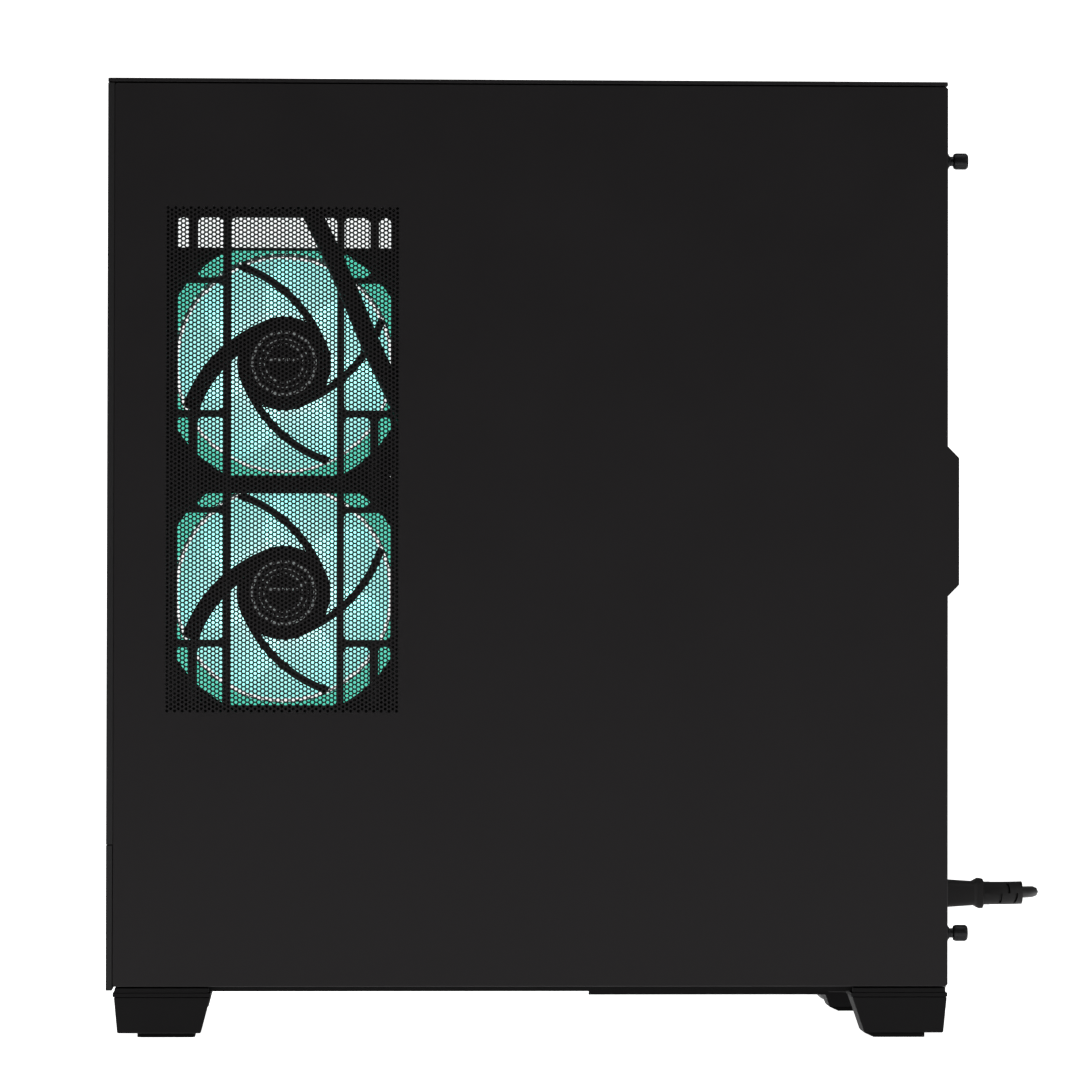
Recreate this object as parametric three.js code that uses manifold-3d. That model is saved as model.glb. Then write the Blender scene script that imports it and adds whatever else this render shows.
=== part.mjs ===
// A mid-tower desktop computer: steel chassis, glass window and front, steel side panel,
// and the components that it holds. Millimetres, +Z up, front towards -Y, glass window towards -X.
import * as THREE from 'three';
import { mergeVertices } from 'three/addons/utils/BufferGeometryUtils.js';
import Module from 'manifold-3d';

const wasm = await Module();
wasm.setup();

// ---------------------------------------------------------------- driving dimensions
const caseWidth = 240; // face of the glass window to face of the steel panel
const caseDepth = 445; // front glass to the rear edge of the steel panel
const caseHeight = 506.5; // floor to the top of the top panel
const footHeight = 23.7; // floor to the top of the feet
const gap = 0.3; // left between neighbours that touch
const sheet = 1; // steel of the side panel and skirt
const frameSheet = 1.2; // steel of the chassis
const glass = 3.2; // glass window and front glass
const flange = 8; // folded edge of the side panel
const rearFlange = 20; // folded rear edge, which carries the thumbscrews
const seam = 0.7; // visible joint between two outer panels
const topPanelSheet = 2;
const splitHeight = 101.7; // floor to the joint between the glass and the trim below it

const screwReach = 12; // the thumbscrews stand this far behind the case
const screwHead = 8.7; // diameter
const screwHeadLength = 7.2;
const screwNeck = 4.6; // diameter
const screwShank = 3.4; // diameter
const screwShankLength = 10;
const ferrule = 9; // diameter of the captive sleeve's foot
const ferruleLength = 2.4;
const screwInset = 14.5; // from the steel panel's face
const screwFromTop = 41;
const screwHeightLow = 54.5;

const tabReach = 6; // the pull tab stands this far behind the panel's edge
const tabBottom = 233.5;
const tabLength = 79.5;
const tabWidth = 12;

const fanSize = 120;
const fanDepth = 25;
const fanBore = 116;
const fanHub = 50; // diameter of the motor's base
const rotorTip = 113;
const strutDepth = 4;
const sideFanFromFront = 93; // fan axis from the front glass
const sideFanLow = 234.8; // floor to the lower side fan's axis
const fanPitch = 121.8; // between the two side fans' axes
const ventMargin = 62; // the vent reaches this far ahead of and behind the fan axis
const bracketSetback = 14; // steel panel's face to the fan bracket's outer face

const boardHeight = 305; // motherboard, along Z
const boardDepth = 244; // motherboard, along Y
const boardSheet = 1.6;
const standoff = 6.8;
const traySetback = 24; // steel panel's face to the motherboard tray's outer face

const supplyWidth = 150;
const supplyLength = 150;
const supplyHeight = 86;
const supplyFromWindow = 59; // glass window's face to the power supply
const inletInset = 37; // power supply's side to the middle of its inlet
const inletHeight = 43; // power supply's underside to the middle of its inlet

const radiatorLength = 277;
const radiatorWidth = 120;
const radiatorDepth = 27;
const radiatorFromWindow = 70;

const cordWidth = 6; // diameter of the power cord
const coilMean = 62; // diameter at the middle of the coil's turns
const coilAcross = 2; // turns beside each other
const coilLayers = 4; // turns on each other

// ---------------------------------------------------------------- places that follow from them
const right = caseWidth / 2;
const left = -caseWidth / 2;
const front = -(caseDepth + screwReach) / 2;
const rear = front + caseDepth;
const frameRight = right - sheet - flange - 0.5;
const frameLeft = left + glass + 1;
const frameFront = front + glass + 1.8;
const rearSheetOut = rear - sheet - 0.4; // outer face of the rear panel
const rearSheetIn = rearSheetOut - frameSheet;
const baseBottom = footHeight + gap;
const baseTop = baseBottom + frameSheet;
const topPanelBottom = caseHeight - topPanelSheet;
const shroudHeight = baseTop + supplyHeight + 5.8; // top of the power supply shroud
const boardBottom = shroudHeight + 11;
const panelTop = topPanelBottom - seam;
const panelBottom = baseTop + 1.8;
const topSheetOut = panelTop - sheet - 2.4; // upper face of the top frame
const topSheetIn = topSheetOut - frameSheet;
const screwX = right - screwInset;
const screwHeights = { lower: screwHeightLow, upper: caseHeight - screwFromTop };
const fanY = front + sideFanFromFront;
const bracketOut = right - bracketSetback;
const bracketIn = bracketOut - frameSheet;
const bracketRear = fanY + ventMargin + 6;
const cableExit = fanY + 90.4; // where the front panel's cable passes through the tray
const sideFanOut = bracketIn - gap; // outer face of the side fans
const trayOut = right - traySetback;
const trayIn = trayOut - frameSheet;
const boardOut = trayIn - standoff; // the motherboard's back
const boardIn = boardOut - boardSheet; // the motherboard's component side
const boardRear = rearSheetIn - 1;
const boardFront = boardRear - boardDepth;
const boardTop = boardBottom + boardHeight;

// ---------------------------------------------------------------- shape helpers
const turn = Math.PI * 2;

// A closed geometry as a solid. Its faces are turned outwards whichever way it was drawn.
function solid(geometry) {
  geometry.deleteAttribute('normal');
  geometry.deleteAttribute('uv');
  const merged = mergeVertices(geometry, 1e-4);
  const points = merged.attributes.position.array;
  const faces = [];
  let volume = 0;
  for (let i = 0; i < merged.index.count; i += 3) {
    const [a, b, c] = [0, 1, 2].map((k) => merged.index.array[i + k]);
    if (a === b || b === c || c === a) continue;
    faces.push([a, b, c]);
    const [p, q, r] = [a, b, c].map((k) => new THREE.Vector3().fromArray(points, 3 * k));
    volume += p.dot(q.cross(r));
  }
  if (volume < 0) faces.forEach((face) => face.reverse());
  return new wasm.Manifold(new wasm.Mesh({
    numProp: 3, vertProperties: new Float32Array(points), triVerts: new Uint32Array(faces.flat()),
  }));
}

const join = (...solids) => solids.reduce((whole, next) => whole.add(next));
const cut = (whole, ...holes) => holes.reduce((rest, hole) => rest.subtract(hole), whole);

function block([x0, x1], [y0, y1], [z0, z1]) {
  const box = new THREE.BoxGeometry(x1 - x0, y1 - y0, z1 - z0);
  return solid(box.translate((x0 + x1) / 2, (y0 + y1) / 2, (z0 + z1) / 2));
}

function arc(u, v, radius, from, to, steps) {
  return Array.from({ length: steps + 1 }, (_, i) => {
    const angle = from + ((to - from) * i) / steps;
    return new THREE.Vector2(u + radius * Math.cos(angle), v + radius * Math.sin(angle));
  });
}

const round = (u, v, radius, sides = 16) => arc(u, v, radius, 0, turn * (1 - 1 / sides), sides - 1);

function rounded([u0, u1], [v0, v1], radius, steps = 2) {
  const corner = (u, v, quarter) =>
    arc(u, v, radius, (turn * quarter) / 4, (turn * (quarter + 1)) / 4, steps);
  return [
    ...corner(u1 - radius, v0 + radius, 3), ...corner(u1 - radius, v1 - radius, 0),
    ...corner(u0 + radius, v1 - radius, 1), ...corner(u0 + radius, v0 + radius, 2),
  ];
}

const outline = (...pairs) => pairs.map(([u, v]) => new THREE.Vector2(u, v));

// A sheet across an axis. Its outline is drawn in (Y, Z), (X, Z) or (X, Y) for x, y and z.
const across = {
  x: new THREE.Matrix4().makeBasis(
    new THREE.Vector3(0, 1, 0), new THREE.Vector3(0, 0, 1), new THREE.Vector3(1, 0, 0)),
  y: new THREE.Matrix4().makeBasis(
    new THREE.Vector3(1, 0, 0), new THREE.Vector3(0, 0, 1), new THREE.Vector3(0, -1, 0)),
  z: new THREE.Matrix4(),
};

function plate(axis, points, [low, high], holes = []) {
  const shape = new THREE.Shape(points);
  shape.holes = holes.map((hole) => new THREE.Path(hole));
  const geometry = new THREE.ExtrudeGeometry(shape, { depth: high - low, bevelEnabled: false });
  geometry.applyMatrix4(across[axis]);
  const shift = { x: [low, 0, 0], y: [0, high, 0], z: [0, 0, low] }[axis];
  return solid(geometry.translate(...shift));
}

const rectangle = (axis, u, v, span, holes) =>
  plate(axis, outline([u[0], v[0]], [u[1], v[0]], [u[1], v[1]], [u[0], v[1]]), span, holes);

// A turned piece on a line through a point along an axis, from [radius, distance] pairs.
function turned(axis, profile, [x, y, z], sides = 20) {
  const geometry = new THREE.LatheGeometry(outline(...profile), sides);
  if (axis === 'x') geometry.rotateZ(-Math.PI / 2);
  if (axis === 'z') geometry.rotateX(Math.PI / 2);
  return solid(geometry.translate(x, y, z));
}

const rod = (axis, radius, [low, high], point, sides) =>
  turned(axis, [[0, low], [radius, low], [radius, high], [0, high]], point, sides);

// A tube of one section along a smooth line through points.
function tube(points, radius, sides, steps) {
  const path = new THREE.CatmullRomCurve3(points.map((p) => new THREE.Vector3(...p)));
  const shape = new THREE.Shape(round(0, 0, radius, sides));
  return solid(new THREE.ExtrudeGeometry(shape, { steps, bevelEnabled: false, extrudePath: path }));
}

// ---------------------------------------------------------------- the model and its materials
const tower = new THREE.Group();

const finishes = {
  powderCoat: { color: 0x1c1b1c, roughness: 0.62, metalness: 0.1 },
  chassis: { color: 0x151516, roughness: 0.6, metalness: 0.2 },
  blackPlastic: { color: 0x121213, roughness: 0.55, metalness: 0 },
  glossPlastic: { color: 0x0b0b0c, roughness: 0.2, metalness: 0 },
  rubber: { color: 0x0c0c0c, roughness: 0.9, metalness: 0 },
  tintedGlass: { color: 0x15181a, roughness: 0.05, metalness: 0 },
  blackScrew: { color: 0x101011, roughness: 0.4, metalness: 0.8 },
  litBlade: { color: 0x9fefe4, roughness: 0.4, metalness: 0 },
  fineMesh: { color: 0x0e0e0f, roughness: 0.8, metalness: 0 },
  circuitBoard: { color: 0x0d0f11, roughness: 0.5, metalness: 0 },
  heatsink: { color: 0x2a2b2e, roughness: 0.45, metalness: 0.8 },
  supplyCase: { color: 0x161616, roughness: 0.5, metalness: 0.3 },
};

function add(name, shape, finish) {
  const { vertProperties, triVerts } = shape.getMesh();
  const geometry = new THREE.BufferGeometry();
  geometry.setAttribute('position', new THREE.BufferAttribute(vertProperties, 3));
  geometry.setIndex(new THREE.BufferAttribute(triVerts, 1));
  const mesh = new THREE.Mesh(geometry, new THREE.MeshStandardMaterial(finishes[finish]));
  mesh.name = name;
  tower.add(mesh);
}

// ---------------------------------------------------------------- chassis
function basePlate() {
  const sheetPart = rectangle('z', [frameLeft, frameRight], [frameFront, rearSheetOut],
    [baseBottom, baseTop], [rounded(filterX.map(inner(9)), filterY.map(inner(9)), 4)]);
  const rim = (x) => block([x, x + frameSheet], [frameFront + 8, rearSheetIn - 8],
    [baseTop - 0.2, baseTop + 12]);
  const rail = (side) => join(
    block([side * (filterHalf + gap), side * (filterHalf + gap + 2)].sort((a, b) => a - b),
      [filterY[0] - 4, rear - 60], [railBottom, baseBottom + 0.2]),
    block([side * (filterHalf - 2), side * (filterHalf + gap + 2)].sort((a, b) => a - b),
      [filterY[0] - 4, rear - 60], [railBottom, railBottom + 0.7]));
  return join(sheetPart, rim(frameLeft), rim(frameRight - frameSheet), rail(1), rail(-1));
}

const inner = (edge) => (value, i) => (i ? value - edge : value + edge);
const filterHalf = 80;
const filterX = [-filterHalf, filterHalf];
const filterY = [front + 260.5, rear + 1.5];
const filterSheet = 2.4;
const railBottom = baseBottom - filterSheet - 2 * gap - 0.7;

function dustFilter() {
  const z = [baseBottom - gap - filterSheet, baseBottom - gap];
  const pocket = block(filterX.map(inner(8)), filterY.map(inner(8)), [z[0] - 1, z[0] + 0.9]);
  const upper = block(filterX.map(inner(8)), filterY.map(inner(8)), [z[1] - 0.9, z[1] + 1]);
  const tray = cut(block(filterX, filterY, z), pocket, upper);
  const step = block([-filterHalf + 12, filterHalf - 12], [filterY[0] - 5, filterY[0] + 1],
    [z[1] - 1.4, z[1]]);
  return join(tray, step);
}

// Power supply, and the openings that the rear panel has for what it holds.
const supplyX = [left + supplyFromWindow, left + supplyFromWindow + supplyWidth];
const supplyY = [rearSheetIn - gap - supplyLength, rearSheetIn - gap];
const supplyZ = [baseTop + 1.5, baseTop + 1.5 + supplyHeight];
const inletX = supplyX[0] + inletInset;
const inletZ = supplyZ[0] + inletHeight;
const slotPitch = 20.32;
const slotsTop = boardBottom + 132;
const slotX = [boardIn - 108, boardIn - 2];
const portX = [boardIn - 42, boardIn + 3];
const portZ = [boardTop - 168, boardTop - 9];
const rearFan = [portX[0] - 66, 0, boardTop - 61];

function rearPanel() {
  const slots = [0, 1, 2].map((k) => rounded(slotX,
    [slotsTop - k * slotPitch - 13, slotsTop - k * slotPitch], 1));
  const holes = [
    rounded(supplyX.map(inner(7)), supplyZ.map(inner(6)), 3),
    rounded(portX, portZ, 1),
    round(rearFan[0], rearFan[2], fanBore / 2, 24),
    ...Object.values(screwHeights).map((z) => round(screwX, z, screwShank / 2 + 0.5, 12)),
    ...slots,
  ];
  const bars = [-1, 0, 1].map((k) => join(
    block([rearFan[0] - 60, rearFan[0] + 60], [rearSheetIn, rearSheetOut],
      [rearFan[2] + k * 29 - 1.2, rearFan[2] + k * 29 + 1.2]),
    block([rearFan[0] + k * 29 - 1.2, rearFan[0] + k * 29 + 1.2], [rearSheetIn, rearSheetOut],
      [rearFan[2] - 60, rearFan[2] + 60])));
  return join(rectangle('y', [frameLeft, frameRight], [baseTop + gap, topSheetIn - gap],
    [rearSheetIn, rearSheetOut], holes), ...bars);
}

function topFrame() {
  const fanWindow = (y) => rounded([radiatorX[0] + 6, radiatorX[1] - 6], [y - 56, y + 56], 12);
  const lid = rectangle('z', [frameLeft, frameRight], [frameFront, rearSheetOut],
    [topSheetIn, topSheetOut], radiatorFans.map(fanWindow));
  const lip = (x) => block([x, x + frameSheet], [frameFront + 12, rearSheetIn - gap],
    [topSheetIn - 9, topSheetIn + 0.2]);
  return join(lid, lip(frameLeft), lip(frameRight - frameSheet));
}

const radiatorX = [left + radiatorFromWindow, left + radiatorFromWindow + radiatorWidth];
const radiatorY = [rear - 20 - radiatorLength, rear - 20];
const radiatorZ = [topSheetIn - gap - radiatorDepth, topSheetIn - gap];
const radiatorFans = [-1, 1].map(
  (k) => (radiatorY[0] + radiatorY[1]) / 2 + k * (fanSize / 2 + gap));
const radiatorFanTop = radiatorZ[0] - gap;

const portsZ = splitHeight - 39;
const buttonPlaces = { power: { x: 84, radius: 6.5 }, reset: { x: 64, radius: 3.2 } };
const sockets = [
  { x: 42, width: 14, height: 7 }, { x: 20, width: 14, height: 7 },
  { x: 1, width: 9.4, height: 3.6 }, { x: -15, width: 6, height: 6 },
];

function frontFrame() {
  const windowHole = rounded([frameLeft + 10, frameRight - 12], [splitHeight + 10, topSheetIn - 16], 3);
  const portHole = rounded([-28, 98], [portsZ - 17, portsZ + 17], 3);
  const face = rectangle('y', [frameLeft, frameRight], [baseTop + gap, topSheetIn - gap],
    [frameFront, frameFront + frameSheet], [windowHole, portHole]);
  const post = ([x, z]) => rod('y', 3, [frameFront + 0.5, ioBoardY[0] - gap], [x, 0, z], 8);
  const bridge = ([x, z]) => block([x - 3, x + 3], [frameFront, frameFront + frameSheet],
    z > portsZ ? [z - 3, portsZ + 18] : [portsZ - 18, z + 3]);
  return join(face, ...ioPosts.flatMap((p) => [post(p), bridge(p)]));
}

const ioBoardY = [front + 14, front + 15.6];
const ioPosts = [[-22, portsZ - 12], [-22, portsZ + 12], [91, portsZ - 12], [91, portsZ + 12]];

function frontIoBoard() {
  const board = block([-27, 94], ioBoardY, [portsZ - 15, portsZ + 15]);
  const shells = sockets.map(({ x, width, height }) => cut(
    block([x - width / 2, x + width / 2], [front + 0.8, ioBoardY[0] + 0.2],
      [portsZ - height / 2, portsZ + height / 2]),
    block([x - width / 2 + 0.8, x + width / 2 - 0.8], [front, front + 9],
      [portsZ - height / 2 + 0.8, portsZ + height / 2 - 0.8])));
  return join(board, ...shells);
}

function frontLowerTrim() {
  const holes = [
    ...Object.values(buttonPlaces).map(({ x, radius }) => round(x, portsZ, radius + 0.4, 20)),
    ...sockets.map(({ x, width, height }) => rounded(
      [x - width / 2 - 0.5, x + width / 2 + 0.5],
      [portsZ - height / 2 - 0.5, portsZ + height / 2 + 0.5], 0.6, 1)),
  ];
  return rectangle('y', [left + 0.3, right - 0.3], [baseBottom + 1, splitHeight - seam / 2],
    [front, front + glass], holes);
}

function button({ x, radius }) {
  return turned('y', [[0, front + 0.2], [radius - 0.5, front + 0.2], [radius, front + 0.7],
    [radius, front + 3], [2.4, front + 3], [2.4, front + 12], [0, front + 12]],
  [x, 0, portsZ], 14);
}

function supplyShroud() {
  const lid = block([frameLeft + 3, trayIn - gap], [frameFront + frameSheet + 22, rearSheetIn - gap],
    [shroudHeight, shroudHeight + frameSheet]);
  const wall = block([frameLeft + 3, frameLeft + 3 + frameSheet],
    [frameFront + frameSheet + 22, rearSheetIn - gap], [baseTop + gap, shroudHeight + 0.2]);
  return join(lid, wall);
}

function motherboardTray() {
  const grommet = (y, z) => rounded([y - 7, y + 7], [z - 30, z + 30], 5);
  const face = rectangle('x', [bracketRear + gap, rearSheetIn - gap],
    [baseTop + gap, topSheetIn - 10 - gap],
    [trayIn, trayOut], [grommet(cableExit, 280), grommet(cableExit, 390)]);
  const posts = [0.04, 0.5, 0.96].flatMap((v) => [0.05, 0.5, 0.95].map((u) => rod('x', 3,
    [boardOut + gap, trayIn + 0.2], [0, boardFront + u * boardDepth, boardBottom + v * boardHeight], 8)));
  return join(face, ...posts);
}

// The stamped bracket that carries both side fans. Its windows are counted from each fan's axis.
function sideFanBracket() {
  const centre = sideFanLow + fanPitch;
  const columns = (spans, rows) => spans.flatMap((u) => rows.map((v) => rounded(
    u.map((d) => fanY + d), v, 2.4)));
  const mirrored = (spans) => spans.flatMap(([a, b]) => [[a, b], [-b, -a]]);
  const short = [[centre + 45.5, centre + 77.2], [sideFanLow + 45.5, centre - 28.7],
    [sideFanLow - 60.4, sideFanLow - 28.7]];
  const tall = [[centre - 24.9, centre + 42.3], [sideFanLow - 24.9, sideFanLow + 42.3]];
  const windows = [
    ...columns([[-28, 28]], [[sideFanLow - 60.4, centre + 77.2]]),
    ...columns(mirrored([[32, 45.6], [50.3, 56.6]]), short),
    ...columns(mirrored([[32, 56.6]]), tall),
  ];
  const cableSlot = rounded([fanY - 24, fanY + 4], [centre + 103, centre + 125], 6);
  const face = rectangle('x', [frameFront + frameSheet + gap, bracketRear],
    [baseTop + gap, topSheetIn - 10 - gap], [bracketIn, bracketOut], [...windows, cableSlot]);
  const fold = (y) => block([trayIn, bracketIn + 0.2], [y, y + frameSheet],
    [baseTop + gap, topSheetIn - 10 - gap]);
  return join(face, fold(frameFront + frameSheet + gap), fold(bracketRear - frameSheet));
}

// ---------------------------------------------------------------- outer panels
function rightSidePanel() {
  const y = [front + glass + gap, rear];
  const z = [panelBottom, panelTop];
  const skin = block([right - sheet, right], y, z);
  const folds = [
    block([right - sheet - flange, right], [y[0], y[0] + sheet], z),
    block([right - sheet - flange, right], y, [z[1] - sheet, z[1]]),
    block([right - sheet - flange, right], y, [z[0], z[0] + sheet]),
    block([right - sheet - rearFlange, right], [rear - sheet, rear], z),
  ];
  const tabEdge = outline([rear - sheet, tabBottom], [rear, tabBottom],
    [rear + tabReach, tabBottom + 6], [rear + tabReach, tabBottom + tabLength - 6],
    [rear, tabBottom + tabLength], [rear - sheet, tabBottom + tabLength]);
  const tab = join(plate('x', tabEdge, [right - sheet, right]),
    block([right - tabWidth, right], [rear + tabReach - sheet, rear + tabReach],
      [tabBottom + 6, tabBottom + tabLength - 6]));
  const sleeve = (height) => turned('y', [[0, rear - 0.2], [ferrule / 2, rear - 0.2],
    [ferrule / 2, rear + 0.4], [screwNeck / 2 + 0.6, rear + ferruleLength], [0, rear + ferruleLength]],
  [screwX, 0, height], 16);
  const bore = (height) => rod('y', screwShank / 2 + 0.3, [rear - 3, rear + 4], [screwX, 0, height], 16);
  const heights = Object.values(screwHeights);
  return cut(join(skin, ...folds, tab, ...heights.map(sleeve)), ...heights.map(bore));
}

function thumbscrew(height) {
  const start = rear - screwShankLength;
  const shoulder = rear + ferruleLength + gap;
  const head = rear + screwReach - screwHeadLength;
  return turned('y', [[0, start], [screwShank / 2 - 0.4, start], [screwShank / 2, start + 1],
    [screwShank / 2, shoulder], [screwNeck / 2, shoulder], [screwNeck / 2, head - 0.6],
    [screwHead / 2, head], [screwHead / 2, rear + screwReach], [0, rear + screwReach]],
  [screwX, 0, height], 16);
}

const leftGlass = () => block([left, left + glass],
  [front + glass + gap, rear], [splitHeight + seam / 2, panelTop]);
const frontGlass = () => block([left + 0.3, right - 0.3], [front, front + glass],
  [splitHeight + seam / 2, panelTop]);

// The steel skirt below the window is one strip with both its ends folded in.
function leftLowerSkirt() {
  const [y0, y1] = [front + glass + gap, rear];
  const fold = left + sheet + 3.6;
  return plate('z', outline([left, y0], [fold, y0], [fold, y0 + sheet], [left + sheet, y0 + sheet],
    [left + sheet, y1 - sheet], [fold, y1 - sheet], [fold, y1], [left, y1]),
  [panelBottom, splitHeight - seam / 2]);
}

function topPanel() {
  const plan = rounded([left, right], [front, rear], 1.5);
  const grille = rounded([radiatorX[0] - 8, radiatorX[1] + 8], [front + 36, rear - 30], 6);
  const lid = plate('z', plan, [topPanelBottom, caseHeight]);
  return cut(lid, plate('z', grille, [topPanelBottom - 1, topPanelBottom + 1]));
}

// A foot as a tapered block under one corner, [top, bottom] lengths along Y.
function foot(side, topY, bottomY) {
  const x = [side * (right - 32), side * (right - 2)].sort((a, b) => a - b);
  return plate('x', outline([bottomY[0], padHeight + gap], [bottomY[1], padHeight + gap],
    [topY[1], footHeight], [topY[0], footHeight]), x);
}

const padHeight = 2;
const pad = (side, y) => plate('z',
  rounded([side * (right - 28), side * (right - 6)].sort((a, b) => a - b), y, 3), [0, padHeight]);
const footPlaces = {
  front: { top: [front + 4.2, front + 55], bottom: [front + 6, front + 50], pad: [front + 16.5, front + 47] },
  rear: { top: [rear - 50.5, rear - 0.2], bottom: [rear - 44, rear - 2], pad: [rear - 42, rear - 12] },
};

// ---------------------------------------------------------------- fans
// A fan about the Z axis with its struts at height 0 and its open face at its full depth.
function fanFrame({ size = fanSize, depth = fanDepth, bore = fanBore, hub = fanHub }) {
  const half = size / 2;
  const ring = plate('z', rounded([-half, half], [-half, half], 5, 1), [0, depth],
    [round(0, 0, bore / 2, 28)]);
  const base = cut(rod('z', hub / 2, [0, strutDepth], [0, 0, 0], 20),
    rod('z', 2, [1, strutDepth + 1], [0, 0, 0], 8));
  const strut = (start, width) => {
    const reach = [0, 1, 2, 3].map((i) => hub / 2 - 4 + (i * (bore / 2 + 1 - hub / 2 + 4)) / 3);
    const edge = (side) => reach.map((radius, i) => {
      const angle = start - (i * turn) / 18 + (side * width) / 2 / radius;
      return [radius * Math.cos(angle), radius * Math.sin(angle)];
    });
    return plate('z', outline(...edge(-1), ...edge(1).reverse()), [0, strutDepth]);
  };
  const struts = [[0.089, 3], [0.339, 3], [0.589, 3], [0.839, 9]].map(
    ([share, width]) => strut(share * turn, width));
  return join(ring, base, ...struts);
}

function fanRotor({ depth = fanDepth, tip = rotorTip, hub = fanHub, blades = 7, from = strutDepth }) {
  const low = from + gap + 0.4;
  const high = depth - 1;
  const cup = turned('z', [[0, from - 2.4], [1.5, from - 2.4], [1.5, low], [hub / 2 - 3, low],
    [hub / 2 - 3, high], [0, high]], [0, 0, 0], 18);
  const inside = hub / 2 - 4;
  const length = tip / 2 - inside;
  const blade = (k) => {
    const geometry = new THREE.BoxGeometry(length, 1.4, 1, 3, 1, 1);
    const place = geometry.attributes.position;
    for (let i = 0; i < place.count; i += 1) {
      const share = place.getX(i) / length + 0.5;
      const radius = inside + share * length;
      const pitch = 0.95 - 0.35 * share;
      const chord = ((high - low - 2) / Math.cos(pitch)) * place.getZ(i);
      const sweep = 0.35 * share * share + (k * turn) / blades;
      const along = chord * Math.sin(pitch) + place.getY(i) * Math.cos(pitch);
      const angle = sweep + along / radius;
      place.setXYZ(i, radius * Math.cos(angle), radius * Math.sin(angle),
        (low + high) / 2 + chord * Math.cos(pitch) - place.getY(i) * Math.sin(pitch));
    }
    return solid(geometry);
  };
  return join(cup, ...Array.from({ length: blades }, (_, k) => blade(k)));
}

// Turns a fan built about Z so that its struts face along an axis, and puts it at a point.
const facing = {
  '+x': [0, -90, 0], '-x': [0, 90, 0], '+y': [90, 0, 0], '-z': [0, 0, 0], '+z': [180, 0, 0],
};
const placed = (shape, direction, point) => shape.rotate(facing[direction]).translate(point);

function addFan(name, direction, point, finish = 'litBlade') {
  add(`${name}_frame`, placed(fanFrame({}), direction, point), 'blackPlastic');
  add(`${name}_rotor`, placed(fanRotor({}), direction, point), finish);
}

// ---------------------------------------------------------------- components
function motherboard() {
  const board = block([boardIn, boardOut], [boardFront, boardRear], [boardBottom, boardTop]);
  const on = (y, z, reach) => block([boardIn - reach, boardIn + 0.2], y, z);
  const ports = on([boardRear - 26, boardRear], [portZ[0] + 3, portZ[1] - 3], 38);
  const memory = memoryY.map((y) => on([y - 3.4, y + 3.4], memoryZ.map(inner(-4)), 4));
  const slots = [0, 3].map((k) => on([boardRear - 150, boardRear - 52],
    [slotsTop - 9 - k * slotPitch, slotsTop - 3 - k * slotPitch], 5));
  return join(board, ports, ...memory, ...slots);
}

const memoryY = [boardFront + 34, boardFront + 52];
const memoryZ = [boardTop - 146, boardTop - 13];
const memoryModule = (y) => block([boardIn - 4 - gap - 38, boardIn - 4 - gap],
  [y - 3.6, y + 3.6], memoryZ);

const pump = { y: boardRear - 101, z: boardTop - 68, radius: 34 };

function pumpBlock() {
  const body = turned('x', [[0, boardIn - 48], [pump.radius - 5, boardIn - 48],
    [pump.radius - 3, boardIn - 46], [pump.radius - 3, boardIn - 30], [pump.radius, boardIn - 29],
    [pump.radius, boardIn - gap], [0, boardIn - gap]], [0, pump.y, pump.z], 32);
  const fittings = tubeHeights.map((dz) => rod('y', 4, [pump.radius - 8, pump.radius + 2],
    [boardIn - 40, pump.y, pump.z + dz], 10));
  return join(body, ...fittings);
}

const tubeHeights = [12, -8];
const tubeRadius = 5;

function coolantTube(index) {
  const start = [boardIn - 40, pump.y + pump.radius + 2 + 2 * gap, pump.z + tubeHeights[index]];
  const endX = radiatorX[0] + 62 - index * 24;
  const endY = radiatorY[1] - 10;
  const top = radiatorZ[0] - gap;
  return tube([start, [start[0], start[1] + 8, start[2]],
    [start[0] - 8 - 6 * index, start[1] + 20, start[2] + 14],
    [endX + 10, endY - 10, top - 60 - 12 * index], [endX, endY - 1, top - 26], [endX, endY, top]],
  tubeRadius, 8, 20);
}

function radiator() {
  const core = block(radiatorX, radiatorY, radiatorZ);
  const slot = (y) => block(radiatorX.map(inner(4)), [y - 58, y + 58], [radiatorZ[0] - 1, radiatorZ[0] + 3]);
  return cut(core, ...radiatorFans.map(slot));
}

function regulatorHeatsink() {
  const side = block([boardIn - 34, boardIn - gap], [boardRear - 56, boardRear - 30],
    [boardTop - 128, boardTop - 12]);
  const upper = block([boardIn - 26, boardIn - gap], [boardRear - 136, boardRear - 55.5],
    [boardTop - 30, boardTop - 12]);
  const grooves = [0, 1, 2, 3, 4, 5, 6].map((k) => block([boardIn - 36, boardIn - 22],
    [boardRear - 57, boardRear - 36], [boardTop - 122 + k * 15, boardTop - 118 + k * 15]));
  return cut(join(side, upper), ...grooves);
}

const chipsetHeatsink = () => block([boardIn - 9, boardIn - gap],
  [boardFront + 14, boardFront + 66], [boardBottom + 14, boardBottom + 62]);

const cardLength = 270;
const card = {
  x: [boardIn - 122, boardIn - 5 - gap],
  y: [boardRear - 2 - cardLength, boardRear - 2],
  z: [slotsTop - 56, slotsTop - 2],
};
const cardFans = [0.27, 0.7].map((share) => card.y[0] + share * cardLength);
const cardFanX = (card.x[0] + card.x[1]) / 2 - 4;
const cardFanTip = 44;

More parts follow.
